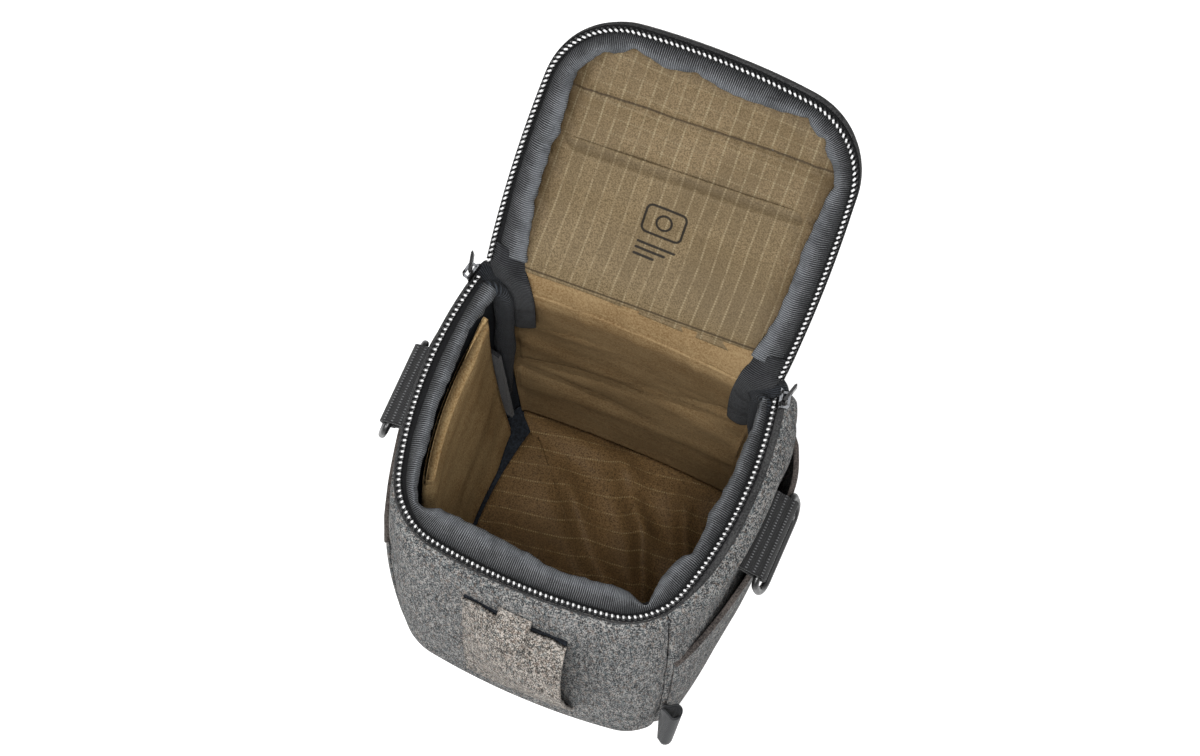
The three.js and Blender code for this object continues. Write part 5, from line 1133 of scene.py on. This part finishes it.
# card pocket: sewn down at the hinge and the sides, its hemmed mouth away from the hinge
us, across = np.linspace(0, 1, 90), np.linspace(-1, 1, 90)
T, C = np.meshgrid(us, across, indexing="ij")
X = C * 51.0
foot, mouth = 4.6 + 0.05 * X, 60.6 + 0.066 * X
U = foot + (mouth - foot) * T
X = C * (lid_half(U) - 9.5 - 3.0 * (1 - T))
arch = 1 - C * C
to_mouth, to_foot = mouth - U, U - foot
lift = 0.5 + 1.1 * arch * T + 0.3 * waves(X + 0.3 * U, 71, 50, 4) * T + 0.25 * waves(U, 72, 30, 3) * arch
hem = 0.5 * np.exp(-((to_mouth - 2.6) / 2.0) ** 2) - 0.35 * np.exp(-((to_mouth - 5.6) / 0.6) ** 2)
stitch = -0.35 * np.exp(-((to_foot - 1.4) / 0.5) ** 2) + 0.1 * np.sin(X / 0.8) * np.exp(-(to_foot / 2.0) ** 2)
sides = -1.1 * np.clip((np.abs(C) - 0.9) / 0.1, 0, 1) ** 2 + 0.5 * waves(U * 1.2 + X, 74, 16, 3) * np.abs(C) ** 10
base = lid_lining_top(U) + lift + (hem + stitch + sides) * np.clip(ramp(U) + 0.35, 0, 1)
G = lid_body(X, U, base)
lid_pouch = slab("lid_card_pocket", G, lid_body(X, U, base - 0.45), np.stack([X, U], -1))
dress(lid_pouch, M["pocket"], "lid", "lid_pocket", "lid_pocket_hem", slot="tan_lining")


def bezier(points, t):
    """Cubic between the first and last of four points."""
    a, b, c, d = points
    return (1 - t) ** 3 * a + 3 * (1 - t) ** 2 * t * b + 3 * (1 - t) * t ** 2 * c + t ** 3 * d


# tan lining: lies on the back wall, leaves it below the rim and turns up into the lid
ks = np.linspace(16.5, FULL - 16.5, 400)
reach_x = wall(ks, 150.0, -11.9)[:, 0]
xs = np.linspace(47.5, -47.5, 90)
k_of_x = np.interp(xs, reach_x[::-1], ks[::-1])
low_z = np.linspace(112, 156, 16)
low = wall(k_of_x[:, None], low_z[None, :], -10.4 - 2.0 * np.sqrt(np.linspace(0, 1, 16))[None, :])
t = np.linspace(0, 1, 26)[1:]
XX, TT = np.meshgrid(xs, t, indexing="ij")
start = low[:, -1][:, None, :]
leaving = start + np.array([0.0, 0.5, 7.5])
end = lid_body(XX * 1.02, 9.5 + 0.05 * XX, lid_lining_top(9.5) - 0.9)
near = lid_body(XX * 1.01, 1.8 + 0.05 * XX, -2.1)
curl = bezier((start, leaving, near, end), TT[..., None])
G = np.concatenate([low, curl], 1)
span = np.linspace(0, 1, G.shape[1])[None, :]
G = G + normals_of(G) * (0.4 * waves(xs[:, None] + 14 * span, 81, 26, 5) * np.sin(np.pi * span))[..., None]
hinge_inner = sheet_from("hinge_lining", G, 0.5)
hinge_inner.data.materials.append(M["back"])
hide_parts("lid_hinge_roll")
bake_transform(hinge_inner)

# outer cloth: from the back wall's top over the hinge to the lid's outer cloth
HINGE_HALF = 52
XX, TT = np.meshgrid(np.linspace(-HINGE_HALF, HINGE_HALF, 70), np.linspace(0, 1, 22), indexing="ij")
bow = (XX / HINGE_HALF) ** 2
start = np.stack([XX, 61.8 - 2.4 * bow, 158.0 + 0 * XX], -1)
mid1 = np.stack([XX, 62.2 - 2.4 * bow, 164.6 + 0 * XX], -1)
end = lid_body(XX, 9.0 + 0 * XX, lid_panel(9.0, 1.0) - 1.5)
mid2 = lid_body(XX, 3.5 + 0 * XX, lid_panel(3.0, 1.0) - 1.6)
G = bezier((start, mid1, mid2, end), TT[..., None])
hinge_outer = sheet_from("hinge_cloth", G, 0.9)
hinge_outer.data.materials.append(M["shell"])
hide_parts("hinge_fold")
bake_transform(hinge_outer)


# ---------------------------------------------------------------- ends of the lid's binding, over the hinge
def corner_bridge(name, node, side, outer_x, inner_x, z_ends, seed, rounded):
    """The lid's ribbon runs past the hinge and hangs, flat, inside the body's rear corner."""
    w = np.linspace(0, 1, 20)
    crest = np.sin(np.pi * w)
    rows = []
    for i, u in enumerate((9.0, 2.5)):
        x = side * (outer_x[i] + (inner_x[i] - outer_x[i]) * w)
        rows.append(lid_body(x, u, -1.3 + 2.9 * crest - 0.9 * w))
    for i, (y, z) in enumerate(((50.0, 168.0), (46.8, 159.5), (45.3, 147.0)), 2):
        x = side * (outer_x[i] + (inner_x[i] - outer_x[i]) * w)
        rows.append(np.stack([x, y - 1.2 * crest, z + 0 * w], -1))
    z_low = z_ends[0] + (z_ends[1] - z_ends[0]) * w + rounded * (1 - np.sqrt(np.clip(1 - (2 * w - 1) ** 2, 0, 1)))
    rows.append(np.stack([side * (outer_x[5] + (inner_x[5] - outer_x[5]) * w), 45.0 - 0.5 * crest, z_low], -1))
    C = np.stack(rows, 1)
    plan, height = curve(C[..., :2], 90), curve(C[..., 1:], 90)[..., 1:]
    G = np.concatenate([plan, height], -1)
    s = across_mean(G)
    G = G + normals_of(G) * (0.35 * waves(s[None, :] + 5 * w[:, None], seed, 22, 4) * crest[:, None])[..., None]
    o = slab(name, G, G + np.array([0, 0.75, -0.25]), np.stack(np.meshgrid(14 * w, s, indexing="ij"), -1)[..., ::-1])
    # the darker ribbon copy paints the shade inside the rear corner
    o.data.materials.append(M["binding_end"])
    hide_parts(node)
    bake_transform(o)
    return o


corner_bridge("left_binding_end", "left_corner_gusset", -1, (59.3, 59.0, 56.5, 51.5, 47.8, 46.4),
              (46.6, 45.0, 41.5, 38.4, 37.4, 37.2), (128, 136), 91, 0.0)
corner_bridge("right_binding_end", "right_corner_gusset", 1, (59.3, 59.2, 58.2, 56.0, 53.2, 51.8),
              (46.8, 46.0, 44.4, 43.0, 42.2, 42.0), (124, 122), 95, 4.5)


def corner_roll(name, sign, points, radii, seed):
    """The body binding's end, rolled over the corner and let down inside it."""
    path = curve(np.array(points, float)[None, :, :2], 90)[0]
    depth = curve(np.array(points, float)[None, :, 1:], 90)[0][:, 1]
    line = np.stack([sign * path[:, 0], path[:, 1], depth], -1)
    t = unit(np.gradient(line, axis=0))
    side = unit(np.cross(t, np.array([0.35 * sign, -1.0, 0.25])))
    up = np.cross(side, t)
    ang = np.linspace(0, 2 * np.pi, 20, endpoint=False)
    size = np.interp(np.linspace(0, 1, 90), np.linspace(0, 1, len(radii)), radii)
    size = size * (1 + 0.06 * waves(np.arange(90) * 1.0, seed, 30, 3))
    ring = line[:, None] + size[:, None, None] * (side[:, None] * np.cos(ang)[None, :, None]
                                                  + 0.62 * up[:, None] * np.sin(ang)[None, :, None])
    o = loft(name, ring, np.stack(np.meshgrid(along(line), np.linspace(0, 18, 20), indexing="ij"), -1))
    # the darker ribbon copy paints the shade down the rear corner
    return dress(o, M["corner"], "pouch_body", slot="binding_cloth")


corner_roll("left_corner_roll", -1, [(57.2, 36, 164.6), (56.4, 41, 164.6), (53.6, 44.8, 163.8), (50.6, 45.0, 158),
                                     (49.4, 43.6, 140), (49.6, 43.2, 110), (50.6, 43.8, 75), (51.4, 45.4, 40)],
            [2.6, 3.8, 4.8, 5.0, 4.6, 4.8, 4.0, 2.4], 61)
corner_roll("right_corner_roll", 1, [(58.2, 38, 165.4), (57.4, 42, 165.6), (55.4, 45.4, 164.2), (53.6, 46.2, 158),
                                     (53.0, 45.4, 142), (53.4, 45.2, 112)], [2.4, 3.0, 3.4, 3.2, 3.0, 2.0], 62)

# ---------------------------------------------------------------- divider
DIVIDER_DROP, DIVIDER_FOOT, DIVIDER_LENGTH, DIVIDER_HEIGHT = 13.0, 12, 75, 138
k0, k1 = step_where(1, 37, 26, 33), step_where(1, -31, 26, 34)
ks, rows = np.linspace(k0, k1, 56), np.linspace(0, 1, 64)
K, R = np.meshgrid(ks, rows, indexing="ij")
top = rim_top(ks) - DIVIDER_DROP
Z = DIVIDER_FOOT + (top[:, None] - DIVIDER_FOOT) * R
u = (K - k0) / (k1 - k0)
thick = 8 - 3 * R
edge = np.minimum(np.minimum(u, 1 - u) * DIVIDER_LENGTH, np.minimum(R, 1 - R) * DIVIDER_HEIGHT)
round_off = np.sqrt(np.clip(1 - (1 - np.clip(edge / 3.2, 0, 1)) ** 2, 0, 1))
face = thick * (0.32 + 0.68 * round_off) + 1.6 * np.sin(np.pi * u) * np.sin(np.pi * R)
face = face - 0.45 * thick * smooth(1, 0, u / 0.3) + 0.3 * waves(Z + 20 * u, 12, 60, 3)
A = wall(K, Z, -11.2 - face)
B = wall(K, Z, -11.1 - thick * 0.3 * (1 - round_off))
divider = slab("divider_pad", A, B, np.stack([u * DIVIDER_LENGTH, Z], -1))
dress(divider, M["brushed"], "divider_pad", "divider", slot="brushed_cloth")
for name in ("divider_front_hook", "divider_back_hook"):
    nodes[name].data.materials.clear()
    nodes[name].data.materials.append(M["hook"])


# ---------------------------------------------------------------- side pockets
POCKET_BOTTOM, MOUTH_FRONT, MOUTH_RISE = 5, 103, 18


def pocket(side):
    """Side pocket sewn into both corner seams, its slanting mouth standing off the wall under a folded hem."""
    a, b = SEAM + 0.45, REAR - 0.45
    ks = np.linspace(a, b, 96)
    mouth = MOUTH_FRONT + MOUTH_RISE * (ks - a) / (b - a)
    K, R = np.meshgrid(ks, np.linspace(0, 1, 64), indexing="ij")
    S = (K - a) / (b - a)
    Z = POCKET_BOTTOM + (mouth[:, None] - POCKET_BOTTOM) * R

    def stand(share, up):
        full = 6 * np.sin(np.pi * np.clip(share, 0, 1) ** 1.8) ** 1.3 * smooth(1, 0.5, (share - 0.7) / 0.25)
        return 0.3 + full * np.clip(up, 0, 1.05) ** 1.2

    soft = 0.3 * waves(S * 100 + 0.3 * Z, 14, 55, 4) * np.sin(np.pi * S) * np.clip(R * 3, 0, 1)
    edge = np.minimum(S, 1 - S)
    groove = -0.5 * np.exp(-(edge * 100 / 1.6) ** 2)
    out = stand(S, R) + 1.0 + soft + groove
    turn = lambda k: k if side > 0 else FULL - k
    A = wall(turn(K), Z, out)
    B = wall(turn(K), Z, out - 1.0)
    name = "right" if side > 0 else "left"
    o = slab(f"{name}_side_pocket", A, B)
    dress(o, M["shell"], "pouch_body", f"{name}_pocket", slot="shell_cloth")
    zs = np.linspace(-1.5, 0.5, 9)
    Z2 = mouth[:, None] + zs[None, :]
    K2 = ks[:, None] + 0 * Z2
    S2, R2 = (K2 - a) / (b - a), (Z2 - POCKET_BOTTOM) / (mouth[:, None] - POCKET_BOTTOM)
    base = stand(S2, R2) + 1.0 + 0.3 * waves(S2 * 100 + 0.3 * Z2, 14, 55, 4) * np.sin(np.pi * S2)
    roll = 0.55 * np.sqrt(np.clip(1 - ((zs + 0.5) / 1.05) ** 2, 0, 1))[None, :]
    hem = slab(f"{name}_pocket_edge", wall(turn(K2), Z2, base + 0.15 + roll), wall(turn(K2), Z2, base - 1.0 - roll))
    dress(hem, M["hem"], "pouch_body", f"{name}_pocket_hem", slot="band_cloth")
    return o


for side in (-1, 1):
    pocket(side)

# ---------------------------------------------------------------- webbing tabs and rings
TAB_Y, TAB_Z, TAB_REACH, TAB_DROOP, TAB_HALF = 8.0, 127.0, 7.6, 4.4, 16.5
RING_HALF, RING_LEAN, RING_DEPTH, RING_WIRE = 19.2, math.radians(12), 14.0, 1.45


def skin_x(side, y, z):
    """How far out the wall's cloth lies at y and z."""
    ks = np.linspace(8.5, 14.2, 2001)
    p = wall(ks if side > 0 else FULL - ks, z, 0.0)
    return abs(float(np.interp(y, p[:, 1], p[:, 0])))


BAR_Z = TAB_Z - TAB_DROOP
BAR_X = {side: skin_x(side, TAB_Y, TAB_Z) + TAB_REACH for side in (-1, 1)}


def webbing_tab(side):
    """Webbing folded round the ring's bar, its two ends sewn to the wall."""
    ys = np.linspace(TAB_Y - TAB_HALF, TAB_Y + TAB_HALF, 40)
    eye_in, eye_out = 1.85, 3.5
    fall = math.atan2(TAB_DROOP, TAB_REACH)
    turns = np.radians(np.array([116, 95, 70, 45, 20, -5, -30, -60, -90, -115, -134])) - fall
    bar = BAR_X[side]
    outer, inner = [], []
    for y in ys:
        root = skin_x(side, y, TAB_Z) + 0.35
        wob = 0.18 * math.sin(y * 0.5)
        outer.append([(root - 0.1, TAB_Z + 2.2 + wob), (root + 1.6, TAB_Z + 1.9 + wob)]
                     + [(bar + eye_out * math.cos(a), BAR_Z + eye_out * math.sin(a)) for a in turns]
                     + [(root + 1.4, TAB_Z - 2.9), (root - 0.1, TAB_Z - 2.2)])
        inner.append([(root - 0.1, TAB_Z + 0.4), (root + 1.6, TAB_Z + 0.1)]
                     + [(bar + eye_in * math.cos(a), BAR_Z + eye_in * math.sin(a)) for a in turns]
                     + [(root + 1.4, TAB_Z - 1.2), (root - 0.1, TAB_Z - 0.4)])
    O, I = curve(np.array(outer), 50), curve(np.array(inner), 50)
    Y = ys[:, None] * np.ones((1, 50))
    A = np.stack([side * O[..., 0], Y, O[..., 1]], -1)
    B = np.stack([side * I[..., 0], Y, I[..., 1]], -1)
    name = "right" if side > 0 else "left"
    o = slab(f"{name}_tab_webbing", A, B, np.stack(np.meshgrid(ys, across_mean(O), indexing="ij"), -1))
    return dress(o, M["webbing"], "pouch_body", f"{name}_webbing_tab", slot="webbing")


def ring(side):
    """Moulded ring: a straight bar through the tab, two tight corners and a rounded foot, leaning out."""
    half, lean, depth = RING_HALF, RING_LEAN, RING_DEPTH
    path = []
    for cx, cz, r, a0, a1, n in ((half - 3.2, -3.2, 3.2, 90, 0, 10), (half - 7, 7 - depth, 7, 0, -90, 16),
                                 (7 - half, 7 - depth, 7, -90, -180, 16), (3.2 - half, -3.2, 3.2, -180, -270, 10)):
        for a in np.radians(np.linspace(a0, a1, n)):
            path.append((cx + r * math.cos(a), cz + r * math.sin(a), math.cos(a), math.sin(a)))
    path = np.array(path)
    ang = np.linspace(0, 2 * np.pi, 16, endpoint=False)
    inp = path[:, None, :2] + path[:, None, 2:] * (RING_WIRE * np.cos(ang))[None, :, None]
    off = RING_WIRE * np.sin(ang)[None, :]
    down = np.array([side * math.sin(lean), 0, -math.cos(lean)])
    face = np.array([side * math.cos(lean), 0, math.sin(lean)])
    pts = np.array([side * BAR_X[side], TAB_Y, BAR_Z]) + (-inp[..., 1:2]) * down + off[..., None] * face
    pts[..., 1] += inp[..., 0]
    name = "right" if side > 0 else "left"
    o = loft(f"{name}_ring_moulding", pts, closed=True)
    return dress(o, M["ring"], f"{name}_ring", f"{name}_d_ring", slot="gloss_black")


for side in (-1, 1):
    webbing_tab(side)
    ring(side)

# ---------------------------------------------------------------- front band, its tab and the ribbon
BAND_FOOT = 28.0
kb0, kb1 = step_where(0, -19, -3, 3), step_where(0, 22, -3, 3)


def band_top(share):
    """Height of the band's upper edge across its width."""
    return 138 - 7 * share


def band_stand(share, down):
    """How far the band stands off the wall: most near its top right."""
    return 0.3 + 10.4 * (1 - (1 - share) ** 2.2) * 2.9 * np.sqrt(down) * (1 - down) ** 1.3


ks, rows = np.linspace(kb0, kb1, 80), 1 - np.linspace(1, 0, 96) ** 1.5
K, D = np.meshgrid(ks, 1 - rows, indexing="ij")
share = (K - kb0) / (kb1 - kb0)
top = band_top(share)
Z = top - (top - BAND_FOOT) * D
lip = (1.5 + 0.5 * waves(share * 40, 16, 26, 3)) * np.exp(-(D * (top - BAND_FOOT) / 4.0) ** 2)
out = band_stand(share, D) + 1.2 + lip + 0.4 * waves(Z + 8 * share, 15, 44, 4) * share * np.sin(np.pi * D)
front_strap = slab("front_strap", wall(K, Z, out), wall(K, Z, out - 1.2))
# the band wears the lighter melange copy: painted light
dress(front_strap, M["shell_painted_lit"], "pouch_body", "front_band", slot="shell_cloth")

# a dark sheet along the band's upper edge: painted shadow in the gap between the band and the wall
K, D = np.meshgrid(np.linspace(kb0 + 0.02, kb1 - 0.05, 60), np.linspace(0, 0.10, 10), indexing="ij")
share = (K - kb0) / (kb1 - kb0)
Z = band_top(share) - 0.9 - (band_top(share) - BAND_FOOT) * D
lip = (1.5 + 0.5 * waves(share * 40, 16, 26, 3)) * np.exp(-(D * 110 / 4.0) ** 2)
under = slab("front_strap_gap_shade", wall(K, Z, band_stand(share, D) + 0.8 * lip - 0.3), wall(K, Z, 0.05))
dress(under, M["dark"], "pouch_body", slot="dark_lining")

kt0, kt1 = step_where(0, -5, -3, 3), step_where(0, 8, -3, 3)
K, D = np.meshgrid(np.linspace(kt0, kt1, 30), np.linspace(-5.5, 6.0, 30), indexing="ij")
share = (K - kb0) / (kb1 - kb0)
Z = band_top(share) + D
down = np.clip((band_top(share) - Z) / (band_top(share) - BAND_FOOT), 0, 1)
stand = 0.4 + (band_stand(share, down) + 2.6) * smooth(1, 0, (D + 1.0) / 6.0)
u = (K - kt0) / (kt1 - kt0)
pad = np.minimum(np.minimum(u, 1 - u) * 13, np.minimum(D + 5.5, 6.0 - D))
puff = 2.2 * np.sqrt(np.clip(1 - (1 - np.clip(pad / 1.8, 0, 1)) ** 2, 0, 1))
tab = slab("front_strap_tab", wall(K, Z, stand + 0.2 + puff), wall(K, Z, stand))
dress(tab, M["shell_painted_lit"], "pouch_body", "front_band_tab", slot="shell_cloth")

# ribbon loop in the front right seam, its two ends sewn in together
TAG_REACH, TAG_HALF = 8.4, 3.2
drop = np.array([[0, -1.05], [0.3, -0.5 * TAG_HALF], [0.62, -TAG_HALF], [0.9, -0.72 * TAG_HALF], [1, 0],
                 [0.9, 0.72 * TAG_HALF], [0.62, TAG_HALF], [0.3, 0.5 * TAG_HALF], [0, 1.05]])
line = curve(drop[None] * np.array([TAG_REACH, 1.0]), 64)[0]
tang = unit(np.gradient(line, axis=0))
inward = np.stack([-tang[:, 1], tang[:, 0]], -1)
_, _, nx, ny = outline(FOOT_ARCS, np.array(SEAM))
turned = math.radians(38)
hx, hy = nx * math.cos(turned) - ny * math.sin(turned), nx * math.sin(turned) + ny * math.cos(turned)
sheets = []
for q in (line, line + inward * 0.65):
    levels = []
    for h in np.linspace(0, 1, 18):
        z = 24 + 18 * h
        seam = wall(SEAM, z, 0.6)
        flare = 7 * (1 - h) * np.clip(q[:, 0] / (0.3 * TAG_REACH), 0, 1)
        levels.append(np.stack([seam[0] + hx * q[:, 0] - hy * q[:, 1], seam[1] + hy * q[:, 0] + hx * q[:, 1] - flare,
                                z - 1.2 * np.sin(np.pi * q[:, 0] / 19) * (1 - h)], -1))
    sheets.append(np.stack(levels))
tag = slab("seam_ribbon", sheets[0], sheets[1], uv_grid(sheets[0]))
dress(tag, M["ribbon"], "pouch_body", "ribbon_tag", slot="ribbon")

# ---------------------------------------------------------------- belt loop
LOOP_HALF, LOOP_STAND, LOOP_THICK, LOOP_SEWN = 28, 9, 2.1, 0.4
k0 = step_where(0, LOOP_HALF, 16, 20)
K, Z = np.meshgrid(np.linspace(k0, FULL - k0, 50), np.linspace(26, 138, 90), indexing="ij")
rise = smooth(0, 1, (Z - 39) / 12) * smooth(0, 1, (125 - Z) / 12)
seamed = 0.35 * sum(np.exp(-((Z - at) / 0.7) ** 2) for at in (29, 36.5, 127.5, 135))
under = LOOP_SEWN + LOOP_STAND * rise
out = under + LOOP_THICK - seamed + 0.25 * waves(Z, 18, 60, 3)
loop = slab("belt_loop_webbing", wall(K, Z, out), wall(K, Z, under), np.stack([Z, K * 22], -1))
dress(loop, M["loop"], "pouch_body", "belt_loop", slot="webbing")

# ---------------------------------------------------------------- sliders and pulls
for name in ("left_slider", "right_slider", "left_pull", "right_pull"):
    nodes[name].data.materials.clear()
    nodes[name].data.materials.append(M["pull" if name.endswith("pull") else "slider"])

# ---------------------------------------------------------------- studio
world = bpy.data.worlds.new("studio")
bpy.context.scene.world = world
world.use_nodes = True
sky = world.node_tree.nodes["Background"]
sky.inputs["Color"].default_value = (1, 1, 1, 1)
sky.inputs["Strength"].default_value = 0.45


def area(name, location, target, size, energy):
    """Square lamp, size in metres, that faces the target."""
    data = bpy.data.lights.new(name, "AREA")
    data.shape, data.size, data.energy = "SQUARE", size, energy
    o = bpy.data.objects.new(name, data)
    bpy.context.scene.collection.objects.link(o)
    o.location = location
    o.rotation_mode = "QUATERNION"
    o.rotation_quaternion = (Vector(target) - Vector(location)).to_track_quat("-Z", "Y")


area("key", (-0.85, -0.85, 1.25), (0, 0, 0.1), 0.5, 10)
area("front", (0.0, -1.0, 1.5), (0, 0.02, 0.1), 0.6, 10)
area("top", (0.3, -0.55, 1.95), (0, 0, 0.1), 0.5, 24)
area("fill", (1.1, 0.5, 1.3), (0, 0, 0.1), 0.9, 3)

floor_mesh = bpy.data.meshes.new("studio_floor")
floor_mesh.from_pydata([(-6, -6, 0), (6, -6, 0), (6, 6, 0), (-6, 6, 0)], [], [(0, 1, 2, 3)])
floor = bpy.data.objects.new("studio_floor", floor_mesh)
bpy.context.scene.collection.objects.link(floor)
floor.location.z = -0.0006
white = bpy.data.materials.new("studio_white")
white.use_nodes = True
paint = white.node_tree.nodes["Principled BSDF"]
paint.inputs["Base Color"].default_value = (0.93, 0.93, 0.93, 1)
paint.inputs["Roughness"].default_value = 0.9
paint.inputs["Specular IOR Level"].default_value = 0.1
paint.inputs["Emission Color"].default_value = (1, 1, 1, 1)
path = white.node_tree.nodes.new("ShaderNodeLightPath")
lift = white.node_tree.nodes.new("ShaderNodeMath")
lift.operation = "MULTIPLY"
lift.inputs[1].default_value = 0.4
white.node_tree.links.new(path.outputs["Is Camera Ray"], lift.inputs[0])
white.node_tree.links.new(lift.outputs[0], paint.inputs["Emission Strength"])
floor_mesh.materials.append(white)

bpy.context.scene.view_settings.view_transform = "Standard"
